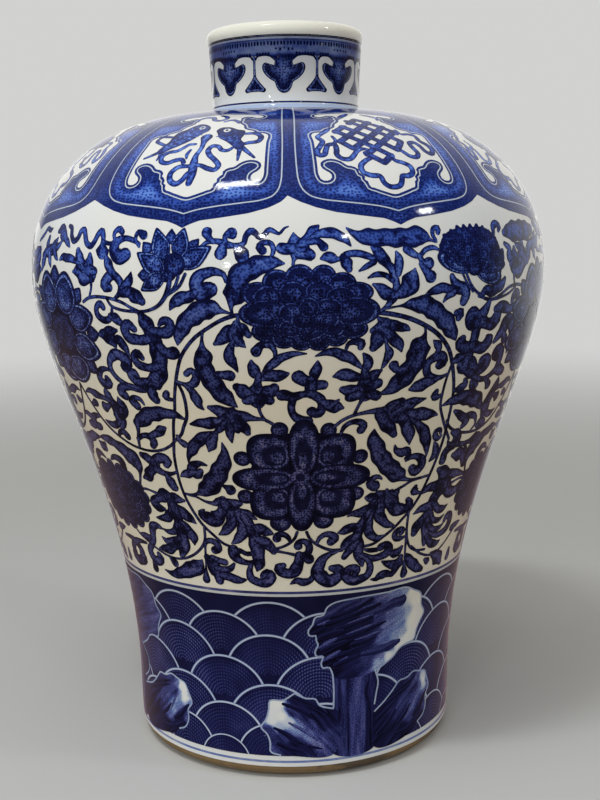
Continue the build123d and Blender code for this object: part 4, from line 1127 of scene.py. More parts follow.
narrow_top_right = """
-50,260.3,1.6 -49,259.5,2.2 -48.4,256,2.4 -47.3,253.7 -46,255 -45.2,258,2.6 -44.3,258.5 -43.6,256 -42.8,252.8
  -41.5,251.7 -40.5,253.5,2.4 -39.7,256.5,2.6 -38.8,258,2.8 -38.2,256,2.6 -38,252.5,3 -38,250,7
-38,253.5,1.6 -36,252.7 -35,253,1.4
-54.2,258,2 -53,258.8,4.6 -51.6,256.3,5 -50.5,254.5,3 -49.5,253 -48.5,251,.6
-52.5,245.5,.6 -51,247,3 -49.5,246.7,3.4 -47,246,3 -45,244.5,1.4
-28.8,252.5,1.4 -30.3,254,2 -32.5,254.8,2.4 -34.3,253.3,4 -34.8,250,5.5 -33.8,247.4,5.8 -31.9,248,5.2
-35,254.3,1.4 -35.2,257,2 -34,258.7,2.6 -33.2,257.3,2.4
"""
narrow_top_left = """
-61,247.5,3 -58.5,249.2,5 -55.5,250,4.6 -53,252,2.4 -51.8,254,1
-56.5,250.5,3 -54.8,253,3.4 -54,255,1
-57.5,248.5,3 -57,245,3.4 -56.3,242.5,.8
-60,247,4 -61,244,4.6 -61.5,241,1
-55,249.5,3 -54,247,2.8 -53,245.5,.6
"""
narrow_far_tips = ["""
-65,254,1.4 -62.5,256.5,2 -60.5,259.3 -58.5,258.5 -57.5,259.5,.6
-59,252,3.6 -58.5,255.2,2.4
-64,251,1 -66,249,4.4 -68.5,247.5,4 -71,249,2.4 -72.5,252,1.2
-66.5,248,3 -68,244,4.4 -70.5,241,4 -73,241.5,1
""", """
-70.6,254.6,3 -68,255,7.6 -64,255.4,8.4 -60,255.6,8 -56.5,256,4
-75.2,252,1.5 -74.4,254.6,2 -74.2,257.4,3 -73,258.6 -72,257.4,2.6 -72.6,255.6,1.6
-71,250,2 -69.4,247.6,3.4 -69.6,244.4,4 -68,242.4,3.6
-66.6,249.6,1.6 -65,248,4.6 -63.4,245.6,6 -62.6,243,4
"""]
column_pair = 120.0
narrow_middle = -54.5
broad_stroke = 2.6


def heaped(place, grain, ink):
    """Ink that gathered in darker spots as it sank into the raw clay."""
    heaps = place.noise(210.0, 3.0, 0.6).rise_between(0.46, 0.66)
    thin = place.noise(190.0, 2.0, 0.5).rise_between(0.52, 0.70)
    high = place.axis("Z").rise_between(0.19, 0.25)
    body = 1 - ink.rise_between(0.80, 0.92)
    return (dabs(grain, 1.5, 0.30) * 0.16 + heaps * 0.32 - thin * 0.08 - high * 0.08) * body


def pressed(width, rise):
    """The width that a stroke takes on the wall, a little fuller up the belly than below it."""
    return width * (0.97 + 0.13 * min(max((rise - 112) / 30, 0), 1)) + 0.1


cobalt_heaped = cobalt("cobalt_heaped", heaped)
load = random.Random(11)
for pair in range(3):
    wide_work, narrow_work = Brushwork(column_pair * pair), Brushwork(column_pair * pair)
    near_side = (narrow_side, narrow_near_curls, narrow_top_right, narrow_top_left, narrow_far_tips[pair % 2])
    sets = [(wide_work, wide_column, 1, 0.0), *((narrow_work, text, 1, 0.0) for text in near_side),
            (narrow_work, narrow_side, -1, 2 * narrow_middle), (narrow_work, narrow_far_curls, 1, -column_pair)]
    for work, text, hand, offset in sets:
        for count, stroke in enumerate(brush_marks(text)):
            broad = max(width for turn, rise, width in stroke) > broad_stroke
            body, rim = (load.uniform(0.55, 0.65), 0.96) if broad else (0.70, 0.88)
            work.ribbon([(hand * turn + offset, rise, pressed(width, rise)) for turn, rise, width in stroke],
                        body, rim, first_coat + 0.0006 * count, 1.0, 0.08)
    wide_work.done("scroll_wide_column_%d" % (pair + 1), cobalt_heaped)
    narrow_work.done("scroll_narrow_column_%d" % (pair + 1), cobalt_heaped)


# Flowers: each wide column has a double flower over an eight-petal rosette, each narrow one a
# lotus over a full chrysanthemum, with a small lotus and a small chrysanthemum at the top
# between them. Petals are laid from the back to the front, dark at the edge and dotted within.
double_petal = [(0.02, 0.62), (0.40, 0.68), (0.66, 0.86), (0.80, 0.92), (0.85, 0.63), (0.90, 0.63), (0.94, 0.88),
                (1.0, 0.86)]
dark_petal = [(0.02, 0.72), (0.50, 0.74), (0.74, 0.90), (0.80, 0.90), (0.845, 0.62), (0.885, 0.62), (0.93, 0.92),
              (1.0, 0.92)]
plain_petal = [(0.02, 0.60), (0.50, 0.64), (0.78, 0.90), (1.0, 0.96)]
lotus_petal = [(0.02, 0.54), (0.45, 0.58), (0.66, 0.74), (0.78, 0.90), (0.815, 0.44), (0.86, 0.42), (0.90, 0.88),
               (1.0, 0.90)]
rosette_petal = [(0.02, 0.56), (0.24, 0.60), (0.34, 0.86), (0.48, 0.92), (0.58, 0.64), (0.68, 0.58), (0.79, 0.64),
                 (0.87, 0.92), (0.94, 0.97), (1.0, 0.96)]
dark_ground = [(0.02, 0.95), (0.35, 0.95), (0.7, 0.95), (1.0, 0.95)]
rosette_eye = [(0.02, 0.88), (0.34, 0.9), (0.48, 0.6), (0.86, 0.6), (1, 0.9)]
petal_swing = np.linspace(0, 2 * math.pi, 33)[:-1]


def dotted_petals(place, grain, ink):
    open_wash = 1 - ink.rise_between(0.72, 0.90)
    clouds = place.noise(260.0, 3.0, 0.6).rise_between(0.3, 0.7) - 0.5
    return dabs(grain, 1.15, 0.32) * open_wash * 0.34 + clouds * (0.12 + open_wash * 0.16)


def petal(work, turn, rise, wide, tall, rings, lift, aim=0.0, point=0.0, heart=None, square=1.0, draw=0.5):
    """One petal with its middle at turn and rise, its size in mm and its tip aimed in degrees
    clockwise from straight up. Point narrows the tip, square fills out the corners, and draw
    pulls the shades in towards the flower's heart, if one is given."""
    full = np.sign(np.sin(petal_swing)) * np.abs(np.sin(petal_swing)) ** square
    up = -np.sign(np.cos(petal_swing)) * np.abs(np.cos(petal_swing)) ** square
    out = full * (1 - point * np.clip(up, 0, 1) ** 1.2) * wide / 2
    up = (up + point * 0.25 * np.clip(up, 0, 1) ** 6) * tall / 2
    lean = math.radians(aim)
    x, y = out * math.cos(lean) + up * math.sin(lean), up * math.cos(lean) - out * math.sin(lean)
    reach = math.radians(np.interp(rise, wall_run, wall_radius))
    centre = (turn, rise)
    if heart:
        to_heart = np.array([(heart[0] - turn) * reach, heart[1] - rise])
        to_heart /= np.hypot(*to_heart) + 1e-6
        side = to_heart[0] * math.cos(lean) - to_heart[1] * math.sin(lean)
        ahead = to_heart[0] * math.sin(lean) + to_heart[1] * math.cos(lean)
        inward = to_heart * draw / math.hypot(2 * side / wide, 2 * ahead / tall)
        centre = (turn + inward[0] / reach, rise + inward[1])
    work.blob([(turn + a / reach, rise + b) for a, b in zip(x, y)], rings, lift, smooth=False, heart=centre)


def crown(work, turn, rise, count, ring, wide, tall, rings, lift, start=0.0):
    """Like petals in a ring round a heart; ring is its half width and half height in mm."""
    reach = math.radians(np.interp(rise, wall_run, wall_radius))
    for number in range(count):
        way = math.radians(start + number * 360.0 / count)
        x, y = ring[0] * math.sin(way), ring[1] * math.cos(way)
        petal(work, turn + x / reach, rise + y, wide, tall, rings, lift + 0.0008 * (number % 2) + 0.0002 * number,
              math.degrees(math.atan2(x, y)), heart=(turn, rise))


double_flower = [(-5.2, 232.7, 13, 9.5), (-1.7, 237.2, 11.5, 10), (2.5, 238.6, 12, 11), (6.8, 238.8, 10.5, 10),
                 (10.3, 236.2, 11.5, 9), (13, 232.6, 14, 8.5), (-3.6, 217.6, 13, 9), (-.6, 214.4, 10, 8),
                 (2.7, 213.4, 9.5, 8), (6, 213.2, 9.5, 8), (9.3, 214.8, 10, 8), (12.4, 218, 13, 8.5),
                 (-3.4, 231.5, 13, 9), (1.2, 233.4, 12, 9), (6.2, 233.6, 12, 9), (10.2, 231, 13, 9),
                 (-3.9, 224.8, 21.5, 11.5), (13, 225.2, 20, 12), (.8, 218.6, 11, 8), (4.6, 217.4, 11, 8),
                 (8.6, 218.6, 11, 8), (.8, 225, 11, 8.5), (7.8, 226.6, 12, 8.5), (7.4, 222, 11, 8),
                 (3.2, 221.6, 11, 7.5)]
double_edge = [(-7.6, 225), (-5, 229), (-6, 233), (-2, 237), (2.5, 240), (7, 240), (11, 236), (14, 232), (12, 229),
               (16.5, 225), (12, 220.5), (13, 217), (9.5, 214), (4.5, 212.5), (-.5, 214), (-4.5, 217.5),
               (-3, 220.5)]
rosette_small = [(-10.9, 160.5, 7.6, 7.2), (-2, 174.2, 7.4, 7.6), (8.7, 173.4, 7, 7.6), (16.6, 160.3, 7, 7),
                 (-11, 142, 7.4, 7), (16.5, 142.2, 7.8, 7), (8.6, 130, 9, 8.4), (-2.6, 129.2, 9.2, 8.4)]
rosette_large = [(-4.6, 163.8, 18.8, 17.6, 0, 0.75), (10.7, 163.6, 17.2, 17, 0, 0.75),
                 (-4.7, 138.8, 18.4, 16.6, 0, 0.75), (11.3, 139.0, 18.4, 16.4, 0, 0.75),
                 (-6.4, 150.6, 11.8, 26.5, -90, 0.9), (12.2, 151, 12.6, 26.5, 90, 0.9),
                 (3.3, 165.8, 13.4, 26.6, 0, 0.9), (2.9, 138.0, 12.6, 26, 180, 0.9)]
lotus_back = [(-54.7, 239.2, 8.6, 8, 0), (-45.9, 231, 7, 7.6, 40), (-42.9, 214.8, 7.4, 8, 90),
              (-46.4, 199.8, 8.4, 9, 130)]
lotus_front = [(-52.2, 197.4, 20, 13, 170, 0.1), (-46.3, 208.2, 13.5, 18.5, 104, 0.25),
               (-46, 221.4, 12.8, 17.6, 82, 0.25), (-50.6, 231.4, 18.6, 18.6, 8, 0.2)]
small_lotus_back = [(-21.9, 255.2, 5, 6, 0), (-17.2, 251.8, 4.8, 6, 40), (-27, 250.9, 5.4, 5.6, -40),
                    (-27.5, 240, 5.6, 5.6, -90), (-22.6, 241.2, 9, 8, 0)]
small_lotus_front = [(-19.9, 252.6, 7.8, 11.6, 12), (-24.1, 251.6, 8.8, 14, -18), (-26, 244.7, 8.6, 14.6, -58),
                     (-25.6, 237.2, 7.4, 12, -120), (-17, 247.2, 8.8, 14.6, 60)]
fan_petal = [(0.02, 0.70), (0.5, 0.72), (0.70, 0.80), (0.78, 0.70), (0.84, 0.70), (0.90, 0.92), (1.0, 0.92)]
fan_tips = [(29.6, 246, 9.5), (47.2, 235.6, 9.5), (48.6, 241.6, 7), (48.2, 246.6, 6.5), (30.2, 250.4, 6.5),
            (47.3, 247, 6.5), (31.3, 254.6, 6), (46.2, 253, 6), (33.2, 256.6, 5.6), (44.4, 256, 5.6),
            (35, 258.3, 5.4), (42.6, 258, 5.4), (36.9, 258.7, 5.2), (40.8, 258.9, 5.2), (38.8, 258.9, 5),
            (34.6, 247.8, 5.4), (42.8, 247.6, 5.4), (36.8, 250.8, 5), (40.8, 250.8, 5), (38.8, 251.6, 5)]
fan_ground = [(38.8, 238.5), (33, 239.5), (30, 245), (31.5, 254), (35, 257), (39, 257.4), (43, 257), (46, 253),
              (47.4, 244), (46.6, 236), (42, 236.5)]
double_heart, double_low, rosette_heart = (4.2, 226.6), 221, (3.1, 151.3)
lotus_heart, chrysanthemum_heart = (narrow_middle, 214), (narrow_middle, 134.8)
small_lotus_heart, fan_heart, fan_degree = (-22, 243.5), (38.9, 241), 2.13
chrysanthemum_rings = [(17, (18.4, 13), (8, 9.6)), (14, (12.6, 9), (7.4, 9.6)), (10, (7, 5.2), (6.6, 8)),
                       (6, (2.8, 2.4), (4.4, 5))]
cobalt_dotted = cobalt("cobalt_dotted", dotted_petals)
for pair in range(3):
    flowers = Brushwork(column_pair * pair)
    flowers.blob(double_edge, dark_ground, second_coat)
    for count, (turn, rise, wide, tall) in enumerate(double_flower):
        petal(flowers, turn, rise, wide, tall, dark_petal if rise < double_low else double_petal,
              second_coat + 0.004 + 0.003 * count, heart=double_heart)
    petal(flowers, 4.2, 227, 8.4, 8.4, double_petal, second_coat + 0.079)
    for turn, rise, wide, tall in rosette_small:
        petal(flowers, turn, rise, wide, tall, plain_petal, second_coat)
    petal(flowers, 3.2, 151.5, 44, 44, dark_ground, second_coat + 0.004)
    for count, (turn, rise, wide, tall, aim, square) in enumerate(rosette_large):
        petal(flowers, turn, rise, wide, tall, rosette_petal, second_coat + 0.01 + 0.004 * count, aim,
              heart=rosette_heart, square=square, draw=0.66)
    petal(flowers, 2.6, 151.4, 8.6, 8.6, rosette_eye, second_coat + 0.05)
    petal(flowers, *lotus_heart, 40, 34, dark_ground, second_coat)
    for hand in (1, -1):
        for turn, rise, wide, tall, aim in lotus_back:
            petal(flowers, narrow_middle + hand * (turn - narrow_middle), rise, wide, tall, plain_petal,
                  second_coat, hand * aim, 0.4)
        for count, (turn, rise, wide, tall, aim, point) in enumerate(lotus_front):
            petal(flowers, narrow_middle + hand * (turn - narrow_middle), rise, wide, tall, lotus_petal,
                  second_coat + 0.012 + 0.004 * count + 0.002 * hand, hand * aim, point, lotus_heart)
    crown(flowers, narrow_middle, 214.4, 9, (7.4, 5.6), 6, 6.6, dark_petal, second_coat + 0.034)
    crown(flowers, narrow_middle, 214.4, 6, (2.8, 2.4), 4.6, 5, dark_petal, second_coat + 0.04)
    petal(flowers, *chrysanthemum_heart, 40, 28, dark_ground, second_coat)
    for count, (petals, ring, size) in enumerate(chrysanthemum_rings):
        crown(flowers, *chrysanthemum_heart, petals, ring, *size, dark_petal, second_coat + 0.008 * (count + 1),
              11.0 * count)
    for turn, rise, wide, tall, aim in small_lotus_back:
        petal(flowers, turn, rise, wide, tall, plain_petal, second_coat, aim, 0.5)
    for count, (turn, rise, wide, tall, aim) in enumerate(small_lotus_front):
        petal(flowers, turn, rise, wide, tall, lotus_petal, second_coat + 0.01 + 0.004 * count, aim, 0.45,
              small_lotus_heart)
    petal(flowers, -21, 244.2, 9.6, 9.6, plain_petal, second_coat + 0.03)
    flowers.blob(fan_ground, dark_ground, second_coat)
    for count, (turn, rise, wide) in enumerate(fan_tips):
        x, y = (turn - fan_heart[0]) * fan_degree, rise - fan_heart[1]
        petal(flowers, 0.5 * (turn + fan_heart[0]), 0.5 * (rise + fan_heart[1]), wide, math.hypot(x, y),
              fan_petal if wide < 8 else lotus_petal, second_coat + 0.008 + 0.002 * count,
              math.degrees(math.atan2(x, y)), heart=fan_heart)
    petal(flowers, 38.9, 240.6, 8.6, 6.6, plain_petal, second_coat + 0.04)
    flowers.done("scroll_flowers_%d" % (pair + 1), cobalt_dotted)


# Wave band: overlapping scale-shaped waves filled with dotted arcs, between the foot and the
# scroll. Each wave is a dark cobalt disc with a rim left white, and every row laps over the
# row above it, as the brush worked downwards.
wave_low, wave_high = 15.0, 92.6
wave_count, first_wave = 11, -7.3
wave_pitch = 360.0 / wave_count
wave_rows = [(90.0, 0, 20.5), (84.3, 1, 20.0), (74.6, 0, 20.5), (62.3, 1, 20.5), (50.2, 0, 20.5), (40.0, 1, 19.5),
             (30.5, 0, 16.5), (22.8, 1, 12.5)]
arc_pitch, bead_pitch = 1.55, 1.35


def dotted_arcs(place, grain, ink):
    along, outward = grain.axis("X"), grain.axis("Y")
    shake = place.noise(420.0, 2.0) * 1.6
    arcs = outward.maths("SINE", outward * (2 * math.pi / arc_pitch) + shake)
    beads = along.maths("SINE", along * (2 * math.pi / bead_pitch) + shake * 1.5)
    inside = ink.rise_between(0.6, 0.8) * outward.rise_between(0.5, 1.5)
    dots = (arcs + beads * 0.75).rise_between(0.25, 1.2) * inside
    cloud = (place.noise(75.0, 3.0) - 0.5) * (ink * 0.34)
    return cloud - dots * (0.08 + place.noise(30.0).rise_between(0.40, 0.62) * 0.17)


waves = Brushwork()
field_turns, field_rises = np.meshgrid(np.linspace(-180, 180, 241), np.linspace(wave_low, wave_high, 27))
waves.lay(field_turns, field_rises, 0.86, first_coat, None, np.zeros(field_turns.shape + (2,)))
wave_out = np.array([0.08, 0.3, 0.5, 0.7, 0.86, 0.936, 0.951, 0.985, 1.0])
wave_swing = np.linspace(-1.5, 1.5, 37)
sway = random.Random(5)
for row, (apex, half_step, reach) in enumerate(wave_rows):
    white_rim = 0.20 if apex > 45 else 0.17
    wave_ink = np.array([0.81, 0.81, 0.81, 0.81, 0.84, 0.91, white_rim, white_rim, 0.62])
    for column in range(wave_count):
        middle = first_wave + wave_pitch * (column + 0.5 * half_step) + sway.uniform(-0.7, 0.7)
        high = apex + sway.uniform(-0.6, 0.6)
        size = reach * sway.uniform(0.98, 1.03)
        swing, out = np.meshgrid(wave_swing, wave_out * size)
        x, y = out * np.sin(swing), out * np.cos(swing)
        rise = np.clip(high - size + y, wave_low, wave_high)
        turn = middle + np.degrees(x / np.interp(rise, wall_run, wall_radius))
        waves.lay(turn, rise, wave_ink[:, None], second_coat + 0.012 * row, np.stack([x, y], -1),
                  np.stack([out * swing, out], -1))
waves.done("wave_band", cobalt("cobalt_waves", dotted_arcs))


# Rocks: four groups of a tall leaning rock between two low ones, standing in the waves.
# Each is a blue wash with a bare white face on its lit side, dark folds brushed over it in
# strokes that run out to a point, and a pale line left round it.
rock_head = [(15.5, 89.5), (22, 90.2), (30, 90.3), (38.5, 90.2), (41, 88.3), (45, 85), (46, 79), (48, 74.5),
             (46.5, 71), (45, 67), (44.3, 62.6), (40, 61.5), (37.5, 60.2), (35, 57), (31.5, 54.3), (28, 52),
             (20, 50.4), (14, 51.5), (12.7, 54), (11.7, 57), (9.5, 57), (9, 59.5), (9.7, 62.8), (7.5, 62.8),
             (7, 65), (8, 68.5), (7.3, 71), (7.3, 73), (5.3, 73), (4.8, 75.3), (6.2, 78.5), (7, 82), (9.5, 83),
             (10.5, 86.5), (12.5, 88.5)]
rock_trunk = [(13, 15), (13.2, 37), (13.3, 42), (13.2, 48), (12.8, 54), (20, 57), (27.8, 53), (29.3, 46),
              (28.7, 41), (28, 35.5), (28, 15)]
left_rock = [(0.3, 45.3), (-3.5, 42), (-7.8, 41.6), (-8.3, 37), (-9.3, 32.5), (-11, 28.5), (-9, 25.5), (-8, 21),
             (-8, 17.2), (-4.5, 15.5), (0, 15), (13.3, 15), (13.3, 36.8), (10.5, 37.8), (8.5, 39), (7.2, 42),
             (4, 42.7)]
right_rock = [(28, 32), (32.5, 36.5), (36.5, 41.5), (38, 43.6), (42, 44), (45, 45.8), (49, 44.5), (52, 43.5),
              (53.3, 40), (54.8, 34.5), (53, 31), (53, 26), (51.5, 22), (48, 19.5), (45, 16), (42, 15), (28, 15)]
head_tones = [(8, 81, .64), (12, 86.5, .60), (17, 88.8, .56), (22, 89.8, .52), (28, 88.2, .42), (34, 89.2, .34),
              (38, 89.4, .26), (10, 76, .82), (8, 70, .82), (9, 63, .82), (12, 57, .84), (16, 72, .82),
              (15, 66, .86), (20, 62, .80), (17, 79, .80), (23, 77, .74), (25, 84, .68), (28, 79.6, .50),
              (22, 73.4, .74), (26, 71.5, .62), (24, 66, .68), (33, 79, .38), (36.4, 77, .32), (32, 73, .36),
              (37, 72.4, .30), (30, 66.6, .34), (35, 67.4, .26), (28, 61, .54), (33, 61.8, .46), (30, 59.4, .40),
              (25, 57, .54), (22, 54, .56), (20, 52, .66), (40.4, 88, 0), (43, 82, 0), (40, 78, .22),
              (42.6, 76, 0), (42.4, 72, 0), (42, 69, 0), (39, 68, .22), (40.4, 65.6, 0), (37.6, 61.6, .02),
              (33, 58.4, .04), (29, 55.6, .22)]
left_tones = [(-7, 38, .02), (-5, 40, 0), (-4, 34, 0), (-7, 32, .03), (-1.6, 32, .12), (-5, 29.6, .18),
              (1, 28.4, .28), (5, 24.4, .34), (9, 20.6, .42), (-8.4, 27, .5), (-9, 25, .5), (-7.6, 20, .52),
              (-4, 24, .62), (0, 20, .78), (3, 17, .72), (11, 18, .52), (12.4, 24, .6), (10, 30, .74),
              (6, 30, .50), (4, 34, .62), (0, 36, .60), (1, 42, .76), (6, 40, .80), (10, 36, .78), (-1, 39, .5)]
right_tones = [(29, 30, .74), (32, 35, .68), (36, 39, .72), (41, 42.4, .66), (45, 44, .58), (48.2, 42, .46),
               (50, 41.4, .10), (51, 39, 0), (52.2, 36.6, .12), (53.6, 34, .4), (53.6, 38, .36), (49.2, 38, .40),
               (47, 38, .56), (44, 38, .6), (47, 33, .38), (45, 28.6, .36), (43, 25, .44), (40, 31, .54),
               (37, 29, .62), (33, 24, .72), (30, 20, .76), (36, 20, .74), (41, 19, .80), (46, 19, .8),
               (49, 25, .74), (52, 29, .58), (52.6, 26, .48), (50, 22, .68)]
trunk_tones = [(13, .88), (14.5, .74), (17, .68), (18.4, .88), (19, .62), (22.6, .58), (24, .56), (24.8, .84),
               (26, .88), (27, .72), (28, .84)]
dark_folds = """
12,81.4,2.4 18,83.6,2.8 22,86,2.4 25,88.3,2.2
11,78.2,3.4 18,81,3.2 24,83.4,2.6 28,85,1.6
14,75,3.6 20,77,2.8 25.4,79,2.4
15,70,3.6 22,72.2,3 27,74.2,2.4 30.6,75.6,1
19.5,66.6,3.2 24,67.6,2.8 27.4,68.8,1.4
15,62,3.6 19,63.6,2.6 23,66,1
14,57.5,3.2 18,59.6,2.6 22,61.6,1
9,72,2.4 12,73.4,2.6 16,74.8,1
9.6,65.6,2.4 13,67.4,2.6 17,69.4,1
15.4,37,1 15.5,33.6,2.4 15.2,29,1
18.4,34,.8 18.5,26,1.2 18.4,16,1
25.6,47,1 25,42,2.4 26.2,36,2.2 26.6,26,2 26.6,16,1.4
-3.5,40.2,1.4 0,38.5,2.4 3.6,36,2.6 6.4,33,1.6
0,43.6,1.6 4,41,3 8,38,3.2 10.5,35,1.6
6,35,2.2 8.4,31,2.6 10.4,26.5,1.2
-6.5,28.5,1.2 -3,26,2.4 0,23,2.6 3,20.6,1.4
-5,21,2.4 -2,19,3 2,17.4,2.4
4,20,.8 7,18.8,1.4 9.4,18,.6
32,36,1 37,38.6,2.6 41,40.6,2.2 44,42,.8
30.4,33,1.6 35,35.6,2.2 40,38.2,1.8 44,40,.6
29.4,28,2.4 33,31,2.2 36.6,34.6,1
29.6,21,2.4 33.6,25,2.6 37,30,1.2
38,23,1.6 41.6,26.6,2.2 44,30.4,1
46,24,2 49.4,27.4,2.6 52,31.4,2 53.4,33.4,.8
38,18,1.6 43,18.6,2.6 47,20.6,2.2 50.6,23.4,1.2
"""
blunt_folds = """
22,80.4,2 28,82,3.8 33,83.7,5.4 36.6,84.5,5.6
23,61.4,2.4 29,62,4.2 34,63 36.8,64,2.6
"""
light_folds = """
13,80.2,.6 18,82.4,1 24,85 28,86.6,.6
16,77,.6 21,79,1.1 26,80.7,.8
17,72.4,.6 23,74.6,1.1 27,76,.6
20,69,.6 25,70.3,1.2 30,72,.6
8,78.4,1 11,79.4,2.2 14,80.4,1
8.4,67,1 11,69,2.6 14,71,1
9.6,60.4,1 12,62.2,2.4 15,64.6,1
13.4,56.6,1 15.4,59,2.2 17.6,61.4,1
24,37,.8 24,28,1.2 24,17,1
-1.6,31,1 3,27.4,1.6 8,22,.8
47.6,36.6,.8 45.4,31.4,1.4 43.6,27,.6
52.6,25.6,.5 52.8,28,1 53.2,30,.5
36,27.6,.5 38,31,1 39.6,33.6,.5
"""
rock_degree = 1.38


def washes(tones, turned, shaded):
    """Ink blended from a few given marks of (turn, rise, ink); shaded closes the bare face."""
    tones = np.array(tones)

    def ink_of(turn, rise):
        away = (turn[:, None] - turned - tones[:, 0]) * rock_degree
        weight = (away ** 2 + (rise[:, None] - tones[:, 1]) ** 2 + 0.3) ** -2.2
        ink = (weight * tones[:, 2]).sum(1) / weight.sum(1)
        ink = ink + 0.13 * np.clip((ink - 0.15) / 0.35, 0, 1)
        return ink + shaded * np.clip(0.80 - ink, 0, 1)
    return ink_of


def rock_wash(place, grain, ink):
    drawn = grain.add("VectorMath", {"operation": "MULTIPLY"}, {0: grain, 1: (0.13, 1.0, 1.0)}, "Vector")
    streak = drawn.noise(0.40, 3.0, 0.55).rise_between(0.25, 0.75) - 0.5
    half_tone = ink.rise_between(0.10, 0.34) * (1 - ink.rise_between(0.60, 0.80))
    return streak * ink.rise_between(0.1, 0.5) * 0.24 + dabs(grain, 0.95, 0.30) * half_tone * 0.16


rocks, rock_lines = Brushwork(), Brushwork()
fold_coats = [(blunt_folds, 0.74, 0.66, 0.225), (light_folds, 0.56, 0.66, 0.235), (dark_folds, 0.96, 0.74, 0.245)]
trunk_coat, head_coat, left_coat, right_coat, line_coat = 0.200, 0.205, 0.210, 0.215, 0.255
rock_groups = [(0.0, 0.0, 0.0), (92.0, 0.15, 0.0), (179.0, 0.0, 0.0), (263.5, 0.75, 4.5)]
bare_lines = [rock_head[:16], rock_head[18:] + rock_head[:1], rock_trunk[1:5], rock_trunk[6:10], left_rock[:10],
              left_rock[12:] + left_rock[:1], right_rock[:14]]
for turned, shaded, swung in rock_groups:

    def moved(marks):
        """Marks of the first group at their place in this one, the right rock swung out a little."""
        return [(turn + turned + (swung if turn > 28 and rise < 50 else 0), rise, *width)
                for turn, rise, *width in marks]

    def trunk_ink(turn, rise):
        return np.interp(turn - turned, *np.array(trunk_tones).T)

    fill(rocks, moved(rock_trunk), trunk_ink, trunk_coat, 90, 1.3)
    fill(rocks, moved(rock_head), washes(head_tones, turned, shaded), head_coat, 24, 1.2)
    fill(rocks, moved(left_rock), washes(left_tones, turned, 0.0), left_coat, -52, 1.2)
    fill(rocks, moved(right_rock), washes(right_tones, turned + swung, -0.1 * swung), right_coat, 42, 1.2)
    for folds, body, rim, lift in fold_coats:
        for count, stroke in enumerate(brush_marks(folds)):
            rocks.ribbon(moved(stroke), body, rim, lift + 0.0003 * count, 1.0, 0.1, soft=True)
    for outline in bare_lines:
        rock_lines.line(moved(outline), 0.75, 0.26, line_coat)
rocks.done("rocks", cobalt("cobalt_rocks", rock_wash))
rock_lines.done("rock_outlines", cobalt_line)


# Studio: a floor that fades into a pale surround, broad soft panels overhead and at the side,
# and small windows that show as highlights. What the glaze mirrors is pale behind, overhead and
# at the far edges, dim in front and brown low behind, so that the blues stay deep.
floor_size, floor_grey = 3.0, (0.62, 0.615, 0.60, 1)
floor_mesh = bpy.data.meshes.new("studio_floor")
floor_mesh.from_pydata([(-floor_size, -floor_size, 0), (floor_size, -floor_size, 0),
                        (floor_size, floor_size, 0), (-floor_size, floor_size, 0)], [], [(0, 1, 2, 3)])
floor = bpy.data.objects.new("studio_floor", floor_mesh)
bpy.context.scene.collection.objects.link(floor)
floor_finish = bpy.data.materials.new("studio_floor")
floor_finish.use_nodes = True
floor_tree = floor_finish.node_tree
floor_shader = floor_tree.nodes["Principled BSDF"]
floor_shader.inputs["Base Color"].default_value = floor_grey
floor_shader.inputs["Roughness"].default_value = 0.9
floor_shader.inputs["Specular IOR Level"].default_value = 0.1
floor_place = Tint(floor_tree).add("TexCoord", output="Object")
floor_reach = floor_place.add("VectorMath", {"operation": "LENGTH"}, {0: floor_place}, "Value")
floor_fade = floor_place.add("MixShader", None, {0: floor_reach.rise_between(0.35, 1.9),
                                                 1: Tint(floor_tree, floor_shader.outputs[0]),
                                                 2: floor_place.add("BsdfTransparent")})
floor_tree.links.new(floor_fade.socket, floor_tree.nodes["Material Output"].inputs["Surface"])
floor_mesh.materials.append(floor_finish)
floor.visible_glossy = False

soft_light, soft_strength = (1.0, 0.96, 0.905, 1), 0.27
seen_surround = (0.64, 0.645, 0.635, 1)
dim_front, brown_low = (0.10, 0.09, 0.10, 1), (0.26, 0.18, 0.18, 1)
pale_behind, pale_edges = (0.72, 0.74, 0.78, 1), (0.98, 0.97, 0.95, 1)
world = bpy.data.worlds.new("studio")
bpy.context.scene.world = world
world.use_nodes = True
facing = Tint(world.node_tree).add("TexCoord", output="Generated")
camera_ray, mirror_ray, through_ray = (facing.add("LightPath", output="Is %s Ray" % kind)
                                       for kind in ("Camera", "Glossy", "Transmission"))
behind = facing.axis("Y").rise_between(0.0, 0.5)
up = facing.axis("Z")
low = 1 - up.rise_between(-0.35, -0.12)
sides = facing.axis("X").rise_between(-0.68, -0.38) * (1 - low)
pale = behind * up.maths("MAXIMUM", up.rise_between(0.05, 0.35), sides)
pale = up.maths("MAXIMUM", pale, up.rise_between(0.75, 0.97))
mirrored = pale.between((behind * low).between(dim_front, brown_low),
                        (sides * behind).between(pale_behind, pale_edges))
room = facing.add("Background", None, {"Color": mirror_ray.between(seen_surround, mirrored), "Strength": 1.0})
soft = facing.add("Background", None, {"Color": soft_light, "Strength": soft_strength})
surround = facing.add("MixShader", None, {0: camera_ray + mirror_ray + through_ray, 1: soft, 2: room})
world.node_tree.links.new(surround.socket, world.node_tree.nodes["World Output"].inputs["Surface"])

lamp_target = Vector((0, 0, 0.22))
broadest_mirrored = 0.6


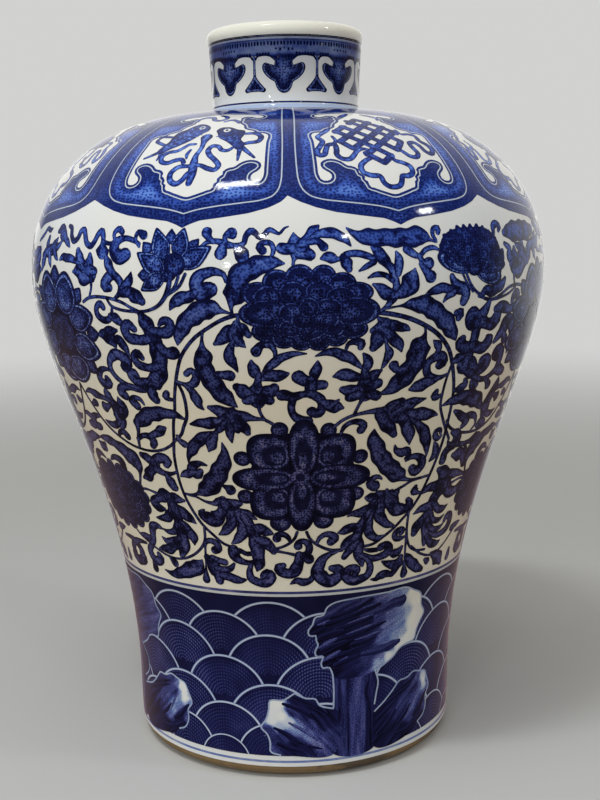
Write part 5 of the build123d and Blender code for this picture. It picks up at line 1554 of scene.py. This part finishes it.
def lamp(name, place, size, power, colour, roll=0.0):
    """A lamp aimed at the vase; a broad panel lights it but doesn't show in the glaze."""
    light = bpy.data.lights.new(name, "AREA")
    light.shape = "RECTANGLE"
    light.size, light.size_y = size
    light.energy = power
    light.color = colour
    holder = bpy.data.objects.new(name, light)
    holder.visible_glossy = max(size) < broadest_mirrored
    bpy.context.scene.collection.objects.link(holder)
    aim = (lamp_target - Vector(place)).to_track_quat("-Z", "Y").to_matrix()
    rolled = aim @ Matrix.Rotation(math.radians(roll), 3, "Z")
    holder.matrix_world = Matrix.Translation(place) @ rolled.to_4x4()


lamp("ceiling_panel", (-0.15, -0.55, 1.55), (1.0, 0.8), 4.5, (0.90, 0.97, 1.0))
lamp("window_left", (-0.37, -0.575, 1.37), (0.32, 0.09), 5.0, (0.96, 0.99, 1.0), 27.0)
lamp("side_panel", (-1.45, -0.85, 0.80), (1.5, 1.4), 8.0, (0.93, 0.98, 1.0))
lamp("window_right", (1.04, -0.44, 0.95), (0.16, 0.06), 1.8, (0.98, 0.99, 1.0))
far_windows = [((-0.43, -1.24, 0.60), 0.85), ((-0.22, -1.23, 0.79), 0.7), ((-0.55, -1.24, 0.42), 0.5),
               ((0.52, -1.14, 0.76), 0.6)]
for number, (place, power) in enumerate(far_windows):
    lamp("far_window_%d" % (number + 1), place, (0.05, 0.03), power, (1.0, 1.0, 1.0))


# Camera: a hand-held view at arm's length, a little above the shoulder's level and tipped down
# to the middle of the vase. The lens is the focal length measured in heights of the picture.
camera_place = Vector((0.004783, -0.582609, 0.250007))
camera_pitch, camera_roll = math.radians(8.512), math.radians(-0.828)
camera_sensor, camera_focus = 36.0, 1180.8 / 800.0
camera_data = bpy.data.cameras.new("view")
camera_data.sensor_fit = "VERTICAL"
camera_data.sensor_height = camera_sensor
camera_data.sensor_width = camera_sensor
camera_data.lens = camera_focus * camera_sensor
camera = bpy.data.objects.new("view", camera_data)
bpy.context.scene.collection.objects.link(camera)
look = Vector((0, math.cos(camera_pitch), -math.sin(camera_pitch)))
level_side, level_up = Vector((1, 0, 0)), Vector((0, math.sin(camera_pitch), math.cos(camera_pitch)))
side = level_side * math.cos(camera_roll) + level_up * math.sin(camera_roll)
upright = level_up * math.cos(camera_roll) - level_side * math.sin(camera_roll)
camera.matrix_world = Matrix.Translation(camera_place) @ Matrix((side, upright, -look)).transposed().to_4x4()
bpy.context.scene.camera = camera
bpy.context.scene.view_settings.view_transform = "Standard"
